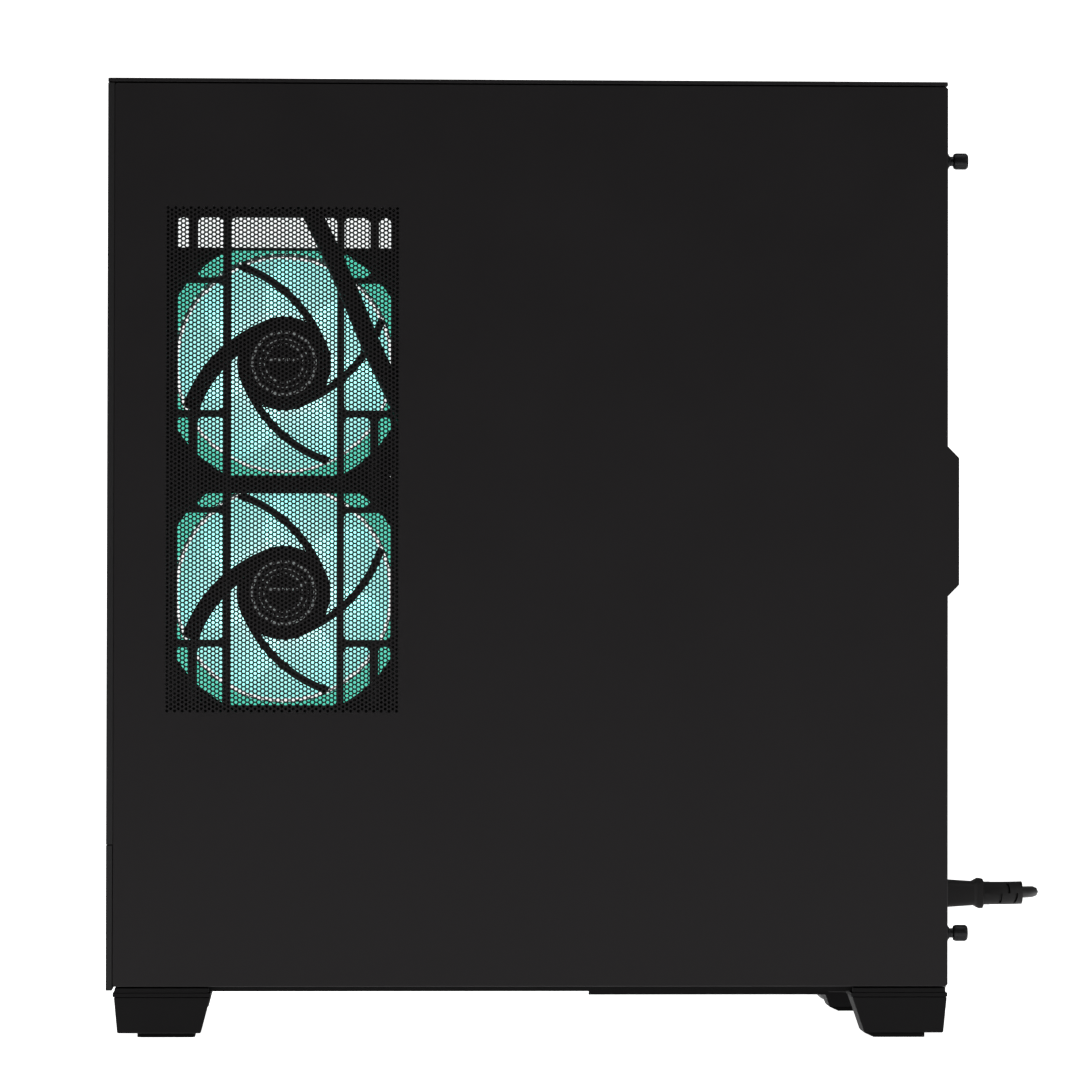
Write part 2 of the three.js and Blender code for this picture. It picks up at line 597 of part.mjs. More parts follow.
function graphicsCard() {
  const body = plate('x', outline([card.y[0], card.z[0] + 6], [card.y[0] + 6, card.z[0]],
    [card.y[1], card.z[0]], [card.y[1], card.z[1]], [card.y[0], card.z[1]]), card.x);
  const pockets = cardFans.map((y) => rod('z', cardFanTip + 1.5, [-1, 13],
    [cardFanX, y, card.z[0]], 32));
  const spindles = cardFans.map((y) => rod('z', 3, [3, 13.5], [cardFanX, y, card.z[0]], 10));
  const bracket = block([card.x[0] + 12, card.x[1]], [boardRear - 2.2, boardRear - 1 + frameSheet],
    [card.z[0], card.z[1] + 4]);
  return join(cut(body, ...pockets), ...spindles, bracket);
}

// A small open fan on a spindle: a cup over the spindle's end with its blades round it.
function spindleFan(blades, thickness, tip) {
  const rotor = fanRotor({ depth: thickness + 1, tip: 2 * tip, hub: tip * 0.72, blades, from: -0.7 });
  return cut(rotor, rod('z', 3.6, [1.6, thickness + 1], [0, 0, 0], 8),
    rod('z', 4, [-9, 0], [0, 0, 0], 8));
}

const supplyFan = [(supplyX[0] + supplyX[1]) / 2, (supplyY[0] + supplyY[1]) / 2];

function powerSupply() {
  const shell = block(supplyX, supplyY, supplyZ);
  const intake = rod('z', 64, [-1, 20], [...supplyFan, supplyZ[0]], 36);
  const grille = [0, 1].map((k) => block(
    k ? [supplyFan[0] - 66, supplyFan[0] + 66] : [supplyFan[0] - 1, supplyFan[0] + 1],
    k ? [supplyFan[1] - 1, supplyFan[1] + 1] : [supplyFan[1] - 66, supplyFan[1] + 66],
    [supplyZ[0], supplyZ[0] + 1.6]));
  const spindle = rod('z', 3, [8, 21], [...supplyFan, supplyZ[0]], 10);
  const inlet = plate('y', rounded([inletX - 12.6, inletX + 12.6], [inletZ - 8.2, inletZ + 8.2], 2),
    [supplyY[1] - 16, supplyY[1] + 1]);
  const pins = [-7, 0, 7].map((dx) => block([inletX + dx - 1, inletX + dx + 1],
    [supplyY[1] - 16.5, supplyY[1] - 3], [inletZ - 2, inletZ + 2]));
  const rockerWell = block([rockerX - 6.4, rockerX + 6.4], [supplyY[1] - 12, supplyY[1] + 1],
    [inletZ - 9.4, inletZ + 9.4]);
  return join(cut(shell, intake, inlet, rockerWell), ...grille, spindle, ...pins);
}

const rockerX = inletX + 27;

// The switch is a short cradle that tips about a line across the power supply.
const rockerSwitch = () => plate('x', outline([supplyY[1] - 8, inletZ - 4],
  [supplyY[1] - 8, inletZ + 4], [supplyY[1] - 2, inletZ + 7.6], [supplyY[1] + 0.4, inletZ + 7.6],
  [supplyY[1] - 1.2, inletZ], [supplyY[1] + 1.6, inletZ - 7.6], [supplyY[1] - 2, inletZ - 7.6]),
[rockerX - 5.6, rockerX + 5.6]);

// ---------------------------------------------------------------- power lead
const reliefStart = rear + 35;
const bendRadius = 4 * cordWidth;
const bendStart = reliefStart + 7;
const reliefTurn = 0.56; // angle, in radians, through which the strain relief itself bends

function powerPlug() {
  const body = plate('y', rounded([inletX - 11.6, inletX + 11.6], [inletZ - 7.2, inletZ + 7.2], 2),
    [supplyY[1] - 15, supplyY[1] + 1.5]);
  const grips = [[0, 13, 8.2], [30, 10.6, 6.2]].map(([d, halfX, halfZ]) => ({ d, halfX, halfZ }));
  const taper = taperedBlock(inletX, inletZ, supplyY[1] + 1.4, reliefStart, grips[0], grips[1]);
  const slots = [-7, 0, 7].map((dx) => block([inletX + dx - 1.6, inletX + dx + 1.6],
    [supplyY[1] - 20, supplyY[1] - 1], [inletZ - 2.6, inletZ + 2.6]));
  const collar = plate('y', rounded([inletX - 8.4, inletX + 8.4], [inletZ - 8.2, inletZ + 8.2], 3),
    [reliefStart - 0.2, reliefStart + 4.6]);
  return join(cut(join(body, taper), ...slots), collar, strainRelief());
}

function taperedBlock(x, z, y0, y1, first, last) {
  const geometry = new THREE.BoxGeometry(1, 1, 1);
  const place = geometry.attributes.position;
  for (let i = 0; i < place.count; i += 1) {
    const end = place.getY(i) > 0 ? last : first;
    place.setXYZ(i, x + 2 * end.halfX * place.getX(i), place.getY(i) > 0 ? y1 : y0,
      z + 2 * end.halfZ * place.getZ(i));
  }
  return solid(geometry);
}

// The strain relief follows the start of the cord's bend, and narrows towards the cord.
function strainRelief() {
  const slices = 8;
  const geometry = new THREE.CylinderGeometry(1, 1, 1, 14, slices);
  const place = geometry.attributes.position;
  const straight = bendStart - reliefStart - 4;
  const length = straight + bendRadius * reliefTurn;
  for (let i = 0; i < place.count; i += 1) {
    const along = (place.getY(i) + 0.5) * length;
    const angle = Math.max(0, along - straight) / bendRadius;
    const radius = 5.8 - (1.8 * along) / length;
    const [u, v] = [place.getX(i) * radius, place.getZ(i) * radius];
    const reach = Math.min(along, straight) + bendRadius * Math.sin(angle) + u * Math.sin(angle);
    place.setXYZ(i, inletX - bendRadius * (1 - Math.cos(angle)) + u * Math.cos(angle),
      reliefStart + 4 + reach, inletZ + v);
  }
  return solid(geometry);
}

const coilCentre = [left - 68, rear - 4];
const coilOuter = coilMean / 2 + (coilAcross * cordWidth) / 2;
const coilInner = coilMean / 2 - (coilAcross * cordWidth) / 2;
const coilHeight = coilLayers * cordWidth;

// Where the cord leaves the strain relief, and its way from there to the top of the coil.
const cordStart = [
  inletX - bendRadius * (1 - Math.cos(reliefTurn)) - (gap + 0.4) * Math.sin(reliefTurn),
  bendStart + bendRadius * Math.sin(reliefTurn) + (gap + 0.4) * Math.cos(reliefTurn),
  inletZ,
];
const cordRoute = [
  cordStart, [-33.1, 277.3, 69.7], [-40.4, 281.3, 69.6], [-48, 282.5, 69.4], [-57, 280.5, 69],
  [-67, 275.5, 68.4], [-79, 267.5, 67.2], [-92, 258, 66.2], [-105, 248, 64.6],
  [-117, 240, 60.5], [-130, 236, 51.5], [-141, 231.5, 39.5], [-149.2, 225.2, 29.2],
];
const cordEndRoute = [[-210.5, 178.5, 3.2], [-216, 178.3, 3.7], [-222, 178, 5.8], [-228, 178, 8.4]];

function cordCoil() {
  return turned('z', [[coilInner, 0.1], [coilOuter, 0.1], [coilOuter, coilHeight],
    [coilInner, coilHeight], [coilInner, 0.1]], [...coilCentre, 0], 28);
}

// The wall plug lies on the floor, its strain relief towards the coil and its blades away from it.
function wallPlug() {
  const [, y, z] = cordEndRoute.at(-1);
  const start = cordEndRoute.at(-1)[0] - gap - 1.2;
  const relief = turned('x', [[0, start - 14], [6.4, start - 14], [4.2, start], [0, start]], [0, y, z + 0.6], 14);
  const body = plate('x', rounded([y - 13, y + 13], [0.2, 19], 4), [start - 37, start - 13]);
  const blade = (side) => block([start - 54, start - 36], [y + side * 6.35 - 0.8, y + side * 6.35 + 0.8],
    [4.2, 10.6]);
  const earth = rod('x', 2.4, [start - 57, start - 36], [0, y, 14.4], 10);
  return join(relief, body, blade(1), blade(-1), earth);
}

// The thick lead from the front sockets. It crosses in front of the side fans, between the
// bracket and the steel panel. Its points are [X from the panel's face, then Y and Z from the
// upper fan's axis].
const cableRadius = 5.2;
const cableRoute = [
  [-30, -9, 114], [-21, -9, 114], [-13, -7.8, 112.6], [-8, -3, 104.5], [-7.5, 6, 93],
  [-7.5, 15.9, 76.4], [-7.5, 33, 40.2], [-7.5, 46.3, 8.8], [-7.5, 55.7, -10.9],
  [-7.5, 66, -32], [-8, 76, -48], [-11.5, 84.5, -58.5], [-18.5, 89.6, -63], [-27, 90.4, -63.5],
  [-36, 90.4, -63.5],
];
const frontPanelCable = () => tube(
  cableRoute.map(([x, y, z]) => [right + x, fanY + y, sideFanLow + fanPitch + z]), cableRadius, 8, 36);

// ---------------------------------------------------------------- assembly
add('base_plate', basePlate(), 'chassis');
add('rear_panel', rearPanel(), 'chassis');
add('top_frame', topFrame(), 'chassis');
add('front_frame', frontFrame(), 'chassis');
add('motherboard_tray', motherboardTray(), 'chassis');
add('side_fan_bracket', sideFanBracket(), 'chassis');
add('power_supply_shroud', supplyShroud(), 'chassis');

add('right_side_panel', rightSidePanel(), 'powderCoat');
add('left_glass_panel', leftGlass(), 'tintedGlass');
add('front_glass_panel', frontGlass(), 'tintedGlass');
add('left_lower_skirt', leftLowerSkirt(), 'powderCoat');
add('front_lower_trim', frontLowerTrim(), 'blackPlastic');
add('top_panel', topPanel(), 'powderCoat');
Object.entries(screwHeights).forEach(
  ([place, height]) => add(`thumbscrew_${place}`, thumbscrew(height), 'blackScrew'));

for (const [end, places] of Object.entries(footPlaces)) {
  for (const [name, side] of [['right', 1], ['left', -1]]) {
    add(`${end}_${name}_foot`, foot(side, places.top, places.bottom), 'blackPlastic');
    add(`${end}_${name}_foot_pad`, pad(side, places.pad), 'rubber');
  }
}
add('dust_filter', dustFilter(), 'fineMesh');

Object.entries(buttonPlaces).forEach(
  ([name, place]) => add(`${name}_button`, button(place), 'glossPlastic'));
add('front_socket_board', frontIoBoard(), 'circuitBoard');

addFan('side_fan_upper', '+x', [sideFanOut, fanY, sideFanLow + fanPitch]);
addFan('side_fan_lower', '+x', [sideFanOut, fanY, sideFanLow]);
addFan('rear_fan', '+y', [rearFan[0], rearSheetIn - gap, rearFan[2]]);
['front', 'rear'].forEach((end, i) => addFan(`radiator_fan_${end}`, '+z',
  [(radiatorX[0] + radiatorX[1]) / 2, radiatorFans[i], radiatorFanTop]));

add('motherboard', motherboard(), 'circuitBoard');
add('regulator_heatsink', regulatorHeatsink(), 'heatsink');
add('chipset_heatsink', chipsetHeatsink(), 'heatsink');
memoryY.forEach((y, i) => add(`memory_module_${i + 1}`, memoryModule(y), 'heatsink'));
add('processor_pump_block', pumpBlock(), 'glossPlastic');
['outlet', 'inlet'].forEach((name, i) => add(`coolant_tube_${name}`, coolantTube(i), 'rubber'));
add('radiator', radiator(), 'heatsink');
add('graphics_card', graphicsCard(), 'blackPlastic');
['front', 'rear'].forEach((end, i) => add(`graphics_fan_${end}`,
  spindleFan(9, 10, cardFanTip).translate([cardFanX, cardFans[i], card.z[0] + 1]), 'blackPlastic'));

add('power_supply', powerSupply(), 'supplyCase');
add('power_supply_fan', spindleFan(9, 12, 58).translate([...supplyFan, supplyZ[0] + 5.4]), 'blackPlastic');
add('rocker_switch', rockerSwitch(), 'glossPlastic');
add('front_panel_cable', frontPanelCable(), 'rubber');

add('power_plug', powerPlug(), 'rubber');
add('power_cord', tube(cordRoute, cordWidth / 2, 8, 44), 'rubber');
add('power_cord_coil', cordCoil(), 'rubber');
add('power_cord_end', tube(cordEndRoute, cordWidth / 2, 8, 5), 'rubber');
add('wall_plug', wallPlug(), 'rubber');

export default tower;
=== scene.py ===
import math

import bmesh
import bpy
from mathutils import Matrix, Vector


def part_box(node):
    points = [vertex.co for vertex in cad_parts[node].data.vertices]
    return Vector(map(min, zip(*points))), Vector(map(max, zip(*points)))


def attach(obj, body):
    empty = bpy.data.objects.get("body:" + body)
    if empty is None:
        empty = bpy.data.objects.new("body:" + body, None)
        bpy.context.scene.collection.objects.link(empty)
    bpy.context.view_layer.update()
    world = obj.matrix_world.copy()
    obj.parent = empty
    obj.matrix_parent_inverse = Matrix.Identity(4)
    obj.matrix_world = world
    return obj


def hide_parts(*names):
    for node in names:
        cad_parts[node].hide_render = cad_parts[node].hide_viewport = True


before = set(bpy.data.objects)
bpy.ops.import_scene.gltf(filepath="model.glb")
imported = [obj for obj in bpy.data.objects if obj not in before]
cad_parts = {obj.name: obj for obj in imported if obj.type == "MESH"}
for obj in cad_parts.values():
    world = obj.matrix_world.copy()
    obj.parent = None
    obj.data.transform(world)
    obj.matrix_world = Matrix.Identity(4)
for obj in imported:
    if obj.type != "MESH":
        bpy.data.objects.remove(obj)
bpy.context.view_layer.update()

MM = 0.001
SHEET = 1 * MM
PANEL_LOW, PANEL_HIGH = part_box("right_side_panel")
TOP_LOW, TOP_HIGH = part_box("top_panel")
FACE = PANEL_HIGH.x
FRONT = TOP_LOW.y
REAR = TOP_HIGH.y


# ------------------------------------------------------------------ camera, floor and light
def aim_camera():
    distance = 3.0
    seen_width = 0.5705
    view = bpy.data.cameras.new("view")
    view.sensor_width = 36
    view.lens = view.sensor_width * distance / seen_width
    view.clip_end = 50
    camera = bpy.data.objects.new("view", view)
    bpy.context.scene.collection.objects.link(camera)
    camera.location = (FACE + distance, FRONT + 0.1125, 0.216)
    target = Vector((FACE, 0, TOP_HIGH.z * 0.519))
    look = (target - camera.location).to_track_quat("-Z", "Y").to_matrix()
    camera.rotation_euler = (look @ Matrix.Rotation(math.radians(0.1), 3, "Z")).to_euler()
    bpy.context.scene.camera = camera


def lay_floor():
    bm = bmesh.new()
    bmesh.ops.create_circle(bm, cap_ends=True, segments=64, radius=1.1)
    mesh = bpy.data.meshes.new("floor")
    bm.to_mesh(mesh)
    bm.free()
    floor = bpy.data.objects.new("floor", mesh)
    bpy.context.scene.collection.objects.link(floor)
    pale, shader = new_material("pale_floor", (0.86, 0.86, 0.86), 0.9)
    set_sockets(shader, {"Emission Color": (1, 1, 1, 1), "Emission Strength": 1.1,
                         "Specular IOR Level": 0.1})
    mesh.materials.append(pale)


def light_studio():
    world = bpy.data.worlds.new("studio")
    bpy.context.scene.world = world
    world.use_nodes = True
    tree = world.node_tree
    backdrop = tree.nodes["Background"]
    path = tree.nodes.new("ShaderNodeLightPath")
    level = tree.nodes.new("ShaderNodeMapRange")
    level.inputs["To Min"].default_value = 0.16
    level.inputs["To Max"].default_value = 1.4
    tree.links.new(path.outputs["Is Camera Ray"], level.inputs["Value"])
    tree.links.new(level.outputs["Result"], backdrop.inputs["Strength"])
    backdrop.inputs["Color"].default_value = (1, 1, 1, 1)
    for name, place, size, power in (
        ("key", (2.3, -1.7, 1.9), 1.1, 18),
        ("rear_fill", (1.7, 2.4, 1.3), 1.2, 27),
        ("overhead", (0.2, 0, 2.4), 1.6, 18),
        ("window_side", (-2.4, -1.2, 1.6), 1.4, 36),
    ):
        lamp = bpy.data.lights.new(name, "AREA")
        lamp.size = size
        lamp.energy = power
        holder = bpy.data.objects.new(name, lamp)
        bpy.context.scene.collection.objects.link(holder)
        holder.location = place
        holder.rotation_euler = (Vector((0, 0, 0.25)) - Vector(place)).to_track_quat("-Z", "Y").to_euler()
    view = bpy.context.scene.view_settings
    view.view_transform = "Standard"
    view.look = "None"


# ------------------------------------------------------------------ finishes
def set_sockets(shader, values):
    for name, value in values.items():
        shader.inputs[name].default_value = value


def new_material(name, color, roughness, metallic=0.0, **more):
    """A plain surface; the constants stay on the shader's own sockets."""
    material = bpy.data.materials.new(name)
    material.use_nodes = True
    shader = material.node_tree.nodes["Principled BSDF"]
    set_sockets(shader, {"Base Color": (*color, 1), "Roughness": roughness, "Metallic": metallic})
    set_sockets(shader, more)
    return material, shader


def object_noise(material, size, detail=2.0):
    """Noise whose grains are about size metres across, on the object's own coordinates."""
    tree = material.node_tree
    place = tree.nodes.new("ShaderNodeTexCoord")
    noise = tree.nodes.new("ShaderNodeTexNoise")
    noise.inputs["Scale"].default_value = 1 / size
    noise.inputs["Detail"].default_value = detail
    tree.links.new(place.outputs["Object"], noise.inputs["Vector"])
    return noise.outputs["Fac"]


def add_bump(material, shader, height, depth):
    """Raises the surface by a depth in metres where a value is high."""
    tree = material.node_tree
    bump = tree.nodes.new("ShaderNodeBump")
    bump.inputs["Distance"].default_value = depth
    bump.inputs["Strength"].default_value = 1
    tree.links.new(height, bump.inputs["Height"])
    tree.links.new(bump.outputs["Normal"], shader.inputs["Normal"])


def add_mottling(material, shader, source, color, spread, roughness, rough_spread):
    """Small changes of colour and gloss over the surface."""
    tree = material.node_tree
    tint = tree.nodes.new("ShaderNodeMix")
    tint.data_type = "RGBA"
    tint.inputs["A"].default_value = (*[c * (1 - spread) for c in color], 1)
    tint.inputs["B"].default_value = (*[c * (1 + spread) for c in color], 1)
    tree.links.new(source, tint.inputs["Factor"])
    tree.links.new(tint.outputs["Result"], shader.inputs["Base Color"])
    gloss = tree.nodes.new("ShaderNodeMapRange")
    gloss.inputs["To Min"].default_value = roughness - rough_spread
    gloss.inputs["To Max"].default_value = roughness + rough_spread
    tree.links.new(source, gloss.inputs["Value"])
    tree.links.new(gloss.outputs["Result"], shader.inputs["Roughness"])


def grained(name, color, roughness, grain, depth, spread=0.12, metallic=0.0, patch=0.03, **more):
    """Powder coat, moulded plastic or rubber: a fine raised grain and a slow mottling."""
    material, shader = new_material(name, color, roughness, metallic, **more)
    add_bump(material, shader, object_noise(material, grain), depth)
    add_mottling(material, shader, object_noise(material, patch, 5.0), color, spread, roughness, 0.06)
    return material


def radial_distance(material, centre, axis):
    """Distance from a line through a centre along x, y or z."""
    tree = material.node_tree
    place = tree.nodes.new("ShaderNodeTexCoord")
    shift = tree.nodes.new("ShaderNodeMapping")
    flat = [0 if k == axis else 1 for k in "xyz"]
    shift.inputs["Location"].default_value = [-c * f for c, f in zip(centre, flat)]
    shift.inputs["Scale"].default_value = flat
    measure = tree.nodes.new("ShaderNodeVectorMath")
    measure.operation = "LENGTH"
    tree.links.new(place.outputs["Object"], shift.inputs["Vector"])
    tree.links.new(shift.outputs["Vector"], measure.inputs[0])
    return measure.outputs["Value"]


def add_ramp(material, value, low, high, stops):
    """Colours along a value that runs from low to high."""
    tree = material.node_tree
    span = tree.nodes.new("ShaderNodeMapRange")
    span.inputs["From Min"].default_value = low
    span.inputs["From Max"].default_value = high
    ramp = tree.nodes.new("ShaderNodeValToRGB")
    while len(ramp.color_ramp.elements) < len(stops):
        ramp.color_ramp.elements.new(0.5)
    for element, (position, color) in zip(ramp.color_ramp.elements, stops):
        element.position = position
        element.color = (*color, 1)
    tree.links.new(value, span.inputs["Value"])
    tree.links.new(span.outputs["Result"], ramp.inputs["Fac"])
    return ramp.outputs["Color"]


def lit_blades(name, centre, axis, strength):
    """Milky plastic lit from the hub: nearly white inside, cyan outside."""
    material, shader = new_material(name, (0.6, 0.85, 0.83), 0.35)
    glow = add_ramp(material, radial_distance(material, centre, axis), 0.018, 0.056, [
        (0.0, (0.7, 1.0, 0.98)), (0.35, (0.46, 0.95, 0.9)), (1.0, (0.3, 0.82, 0.76))])
    material.node_tree.links.new(glow, shader.inputs["Emission Color"])
    shader.inputs["Emission Strength"].default_value = strength
    add_bump(material, shader, object_noise(material, 0.004), 0.0001)
    return material


def lit_plastic(name, color, strength):
    material, shader = new_material(name, (0.7, 0.9, 0.85), 0.4)
    set_sockets(shader, {"Emission Color": (*color, 1), "Emission Strength": strength})
    add_bump(material, shader, object_noise(material, 0.002), 0.00005)
    return material


def clear_glass(name, tint, through):
    """Thin tempered glass: a tinted clear pane with a faint polished reflection."""
    material, shader = new_material(name, (0.02, 0.022, 0.024), 0.03)
    tree = material.node_tree
    clear = tree.nodes.new("ShaderNodeBsdfTransparent")
    clear.inputs["Color"].default_value = (*tint, 1)
    mix = tree.nodes.new("ShaderNodeMixShader")
    mix.inputs["Fac"].default_value = through
    output = tree.nodes["Material Output"]
    tree.links.new(shader.outputs["BSDF"], mix.inputs[1])
    tree.links.new(clear.outputs["BSDF"], mix.inputs[2])
    tree.links.new(mix.outputs["Shader"], output.inputs["Surface"])
    return material


POWDER = (0.0068, 0.0058, 0.0063)
powder_coat = grained("charcoal_powder_coat", POWDER, 0.56, 0.0006, 0.00004, patch=0.05,
                      **{"Specular IOR Level": 0.18})
foot_plastic = grained("foot_plastic", (0.0025, 0.0022, 0.0024), 0.65, 0.0004, 0.00003,
                       **{"Specular IOR Level": 0.12})
# The base plate's coat is darker than the chassis coat: painted shade that offsets the floor's bounce light
# on its lip.
painted_shade_base_coat = grained("base_plate_painted_shade_coat", (0.0035, 0.0032, 0.0034), 0.65, 0.0007, 0.00004,
                    **{"Specular IOR Level": 0.12})
chassis_steel = grained("black_chassis_coat", (0.009, 0.009, 0.0095), 0.55, 0.0007, 0.00004)
moulded_black = grained("moulded_black_plastic", (0.0062, 0.0057, 0.006), 0.6, 0.0004, 0.00003,
                        **{"Specular IOR Level": 0.25})
gloss_black = grained("gloss_black_plastic", (0.008, 0.008, 0.009), 0.16, 0.003, 0.00001)
pad_rubber = grained("pad_rubber", (0.0015, 0.0014, 0.0014), 0.85, 0.0005, 0.00005,
                     **{"Specular IOR Level": 0.1})
cord_vinyl = grained("cord_vinyl", (0.006, 0.0058, 0.0058), 0.55, 0.0008, 0.00003,
                     **{"Specular IOR Level": 0.3})
plug_vinyl = grained("plug_vinyl", (0.005, 0.0044, 0.0045), 0.62, 0.0006, 0.00004,
                     **{"Specular IOR Level": 0.2})
screw_black = grained("blackened_steel", (0.02, 0.02, 0.021), 0.38, 0.0005, 0.00002, metallic=0.85)
board_mask = grained("black_solder_mask", (0.006, 0.007, 0.008), 0.35, 0.002, 0.00002)
socket_black = grained("socket_plastic", (0.011, 0.011, 0.012), 0.5, 0.0007, 0.00003)
anodised = grained("black_anodised", (0.035, 0.035, 0.038), 0.4, 0.0009, 0.00002, metallic=0.9)
grey_metal = grained("stamped_nickel", (0.42, 0.42, 0.43), 0.3, 0.0015, 0.00002, metallic=1.0)
brass_pin = grained("plated_blades", (0.55, 0.5, 0.42), 0.3, 0.001, 0.00002, metallic=1.0)
supply_coat = grained("supply_powder_coat", (0.012, 0.012, 0.0125), 0.6, 0.0005, 0.00004)
sleeve_black = grained("braided_sleeve", (0.01, 0.01, 0.0105), 0.7, 0.0009, 0.0002)
window_glass = clear_glass("clear_window_glass", (0.93, 0.95, 0.95), 0.93)
front_glass = clear_glass("smoked_front_glass", (0.5, 0.52, 0.53), 0.78)
# The label print glows a little: painted light on the print, not a lamp.
label_print_painted_glow = lit_plastic("label_print_painted_glow", (1.0, 0.94, 0.97), 0.1)
halo_green = lit_plastic("halo_diffuser", (0.06, 0.6, 0.43), 1.1)
halo_white = lit_plastic("halo_lamps", (0.8, 1.0, 0.95), 0.9)
pump_glow = lit_plastic("pump_ring", (0.2, 0.85, 0.75), 1.3)


def finished(name, bm, material, body="case", replaces=(), sharp=35, bevel=0.0, turn_out=True):
    """Closes a bmesh into a piece, in place, that rides on a body."""
    bmesh.ops.remove_doubles(bm, verts=bm.verts, dist=1e-6)
    if turn_out:
        bmesh.ops.recalc_face_normals(bm, faces=bm.faces)
    for edge in bm.edges:
        edge.smooth = len(edge.link_faces) == 2 and edge.calc_face_angle(0) < math.radians(sharp)
    for face in bm.faces:
        face.smooth = True
    mesh = bpy.data.meshes.new(name)
    bm.to_mesh(mesh)
    bm.free()
    piece = bpy.data.objects.new(name, mesh)
    bpy.context.scene.collection.objects.link(piece)
    mesh.materials.append(material)
    if bevel:
        soften = piece.modifiers.new("edges", "BEVEL")
        soften.width = bevel
        soften.segments = 2
        soften.limit_method = "ANGLE"
        soften.angle_limit = math.radians(40)
        soften.harden_normals = True
    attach(piece, body)
    if replaces:
        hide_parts(*replaces)
    return piece


def mm(*span):
    return tuple(value * MM for value in span)


def made_since(bm, before):
    return [v for v in bm.verts if v not in before]


def add_block(bm, x, y, z):
    """A box between two values on each axis."""
    made = bmesh.ops.create_cube(bm, size=1)["verts"]
    bmesh.ops.scale(bm, vec=(x[1] - x[0], y[1] - y[0], z[1] - z[0]), verts=made)
    bmesh.ops.translate(bm, vec=(sum(x) / 2, sum(y) / 2, sum(z) / 2), verts=made)
    return made


ALONG = {
    "x": Matrix(((0, 0, 1), (1, 0, 0), (0, 1, 0))),
    "y": Matrix(((0, 1, 0), (0, 0, 1), (1, 0, 0))),
    "z": Matrix.Identity(3),
}


def add_turned(bm, profile, axis, centre, steps=32):
    """A turned shape from (radius, distance) pairs, along an axis through a centre."""
    before = set(bm.verts)
    rim = [bm.verts.new((radius, 0, height)) for radius, height in profile]
    edges = [bm.edges.new(pair) for pair in zip(rim, rim[1:])]
    bmesh.ops.spin(bm, geom=rim + edges, cent=(0, 0, 0), axis=(0, 0, 1), angle=math.tau,
                   steps=steps, use_merge=True)
    made = made_since(bm, before)
    bmesh.ops.remove_doubles(bm, verts=made, dist=1e-6)
    made = made_since(bm, before)
    bmesh.ops.transform(bm, matrix=ALONG[axis].to_4x4(), verts=made)
    bmesh.ops.translate(bm, vec=centre, verts=made)


def add_washer(bm, radii, span, axis, centre, steps):
    """A round ring between two radii and two distances along an axis."""
    inner, outer = radii
    near, far = span
    profile = [(outer, far), (outer, near), (inner, near), (inner, far), (outer, far)]
    add_turned(bm, profile, axis, centre, steps)


def add_outline(bm, points, axis, low, high):
    """A flat outline given a thickness along an axis. The two other axes follow in x, y, z, x order."""
    before = set(bm.verts)
    face = bm.faces.new([bm.verts.new((u, v, 0)) for u, v in points])
    grown = bmesh.ops.extrude_face_region(bm, geom=[face])["geom"]
    top = [g for g in grown if isinstance(g, bmesh.types.BMVert)]
    bmesh.ops.translate(bm, vec=(0, 0, high - low), verts=top)
    made = made_since(bm, before)
    bmesh.ops.transform(bm, matrix=ALONG[axis].to_4x4(), verts=made)
    shift = {"x": (low, 0, 0), "y": (0, low, 0), "z": (0, 0, low)}[axis]
    bmesh.ops.translate(bm, vec=shift, verts=made)


def arc_points(u, v, radius, start, end, steps):
    return [(u + radius * math.cos(start + (end - start) * i / steps),
             v + radius * math.sin(start + (end - start) * i / steps)) for i in range(steps + 1)]


def rounded_points(u, v, radius, steps=4):
    """A rectangle between two values each way, with round corners."""
    quarter = math.pi / 2
    corners = ((u[1] - radius, v[0] + radius, 3), (u[1] - radius, v[1] - radius, 0),
               (u[0] + radius, v[1] - radius, 1), (u[0] + radius, v[0] + radius, 2))
    return [point for cu, cv, k in corners
            for point in arc_points(cu, cv, radius, k * quarter, (k + 1) * quarter, steps)]


def bridge(bm, first, second):
    """Joins two closed rings of the same number of points."""
    count = len(first)
    for i in range(count):
        j = (i + 1) % count
        bm.faces.new((first[i], first[j], second[j], second[i]))


def add_loft(bm, rings):
    """A closed body through rings of the same number of points."""
    for low, high in zip(rings, rings[1:]):
        bridge(bm, low, high)
    bm.faces.new(rings[0])
    bm.faces.new(rings[-1])


def add_flat_frame(bm, rim, hole, place_at, ends):
    """A flat frame between two outlines; place_at puts a point of them at a distance."""
    outer, inner = [[[bm.verts.new(place_at(u, v, end)) for u, v in shape] for end in ends]
                    for shape in (rim, hole)]
    bridge(bm, outer[0], outer[1])
    bridge(bm, inner[0], inner[1])
    bridge(bm, outer[0], inner[0])
    bridge(bm, outer[1], inner[1])


def make_lead(name, line, thickness, material, resolution):
    """A round lead along a line of points."""
    curve = bpy.data.curves.new(name + "_line", "CURVE")
    curve.dimensions = "3D"
    curve.bevel_depth = thickness / 2
    curve.bevel_resolution = resolution
    curve.use_fill_caps = True
    spline = curve.splines.new("POLY")
    spline.points.add(len(line) - 1)
    for point, place in zip(spline.points, line):
        point.co = (*place, 1)
    spline.use_smooth = True
    curve.materials.append(material)
    lead = bpy.data.objects.new(name, curve)
    bpy.context.scene.collection.objects.link(lead)
    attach(lead, "case")
    return lead


def use_finish(node, material):
    """Gives a CAD node its finish and leaves its shape alone."""
    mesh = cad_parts[node].data
    mesh.materials.clear()
    mesh.materials.append(material)


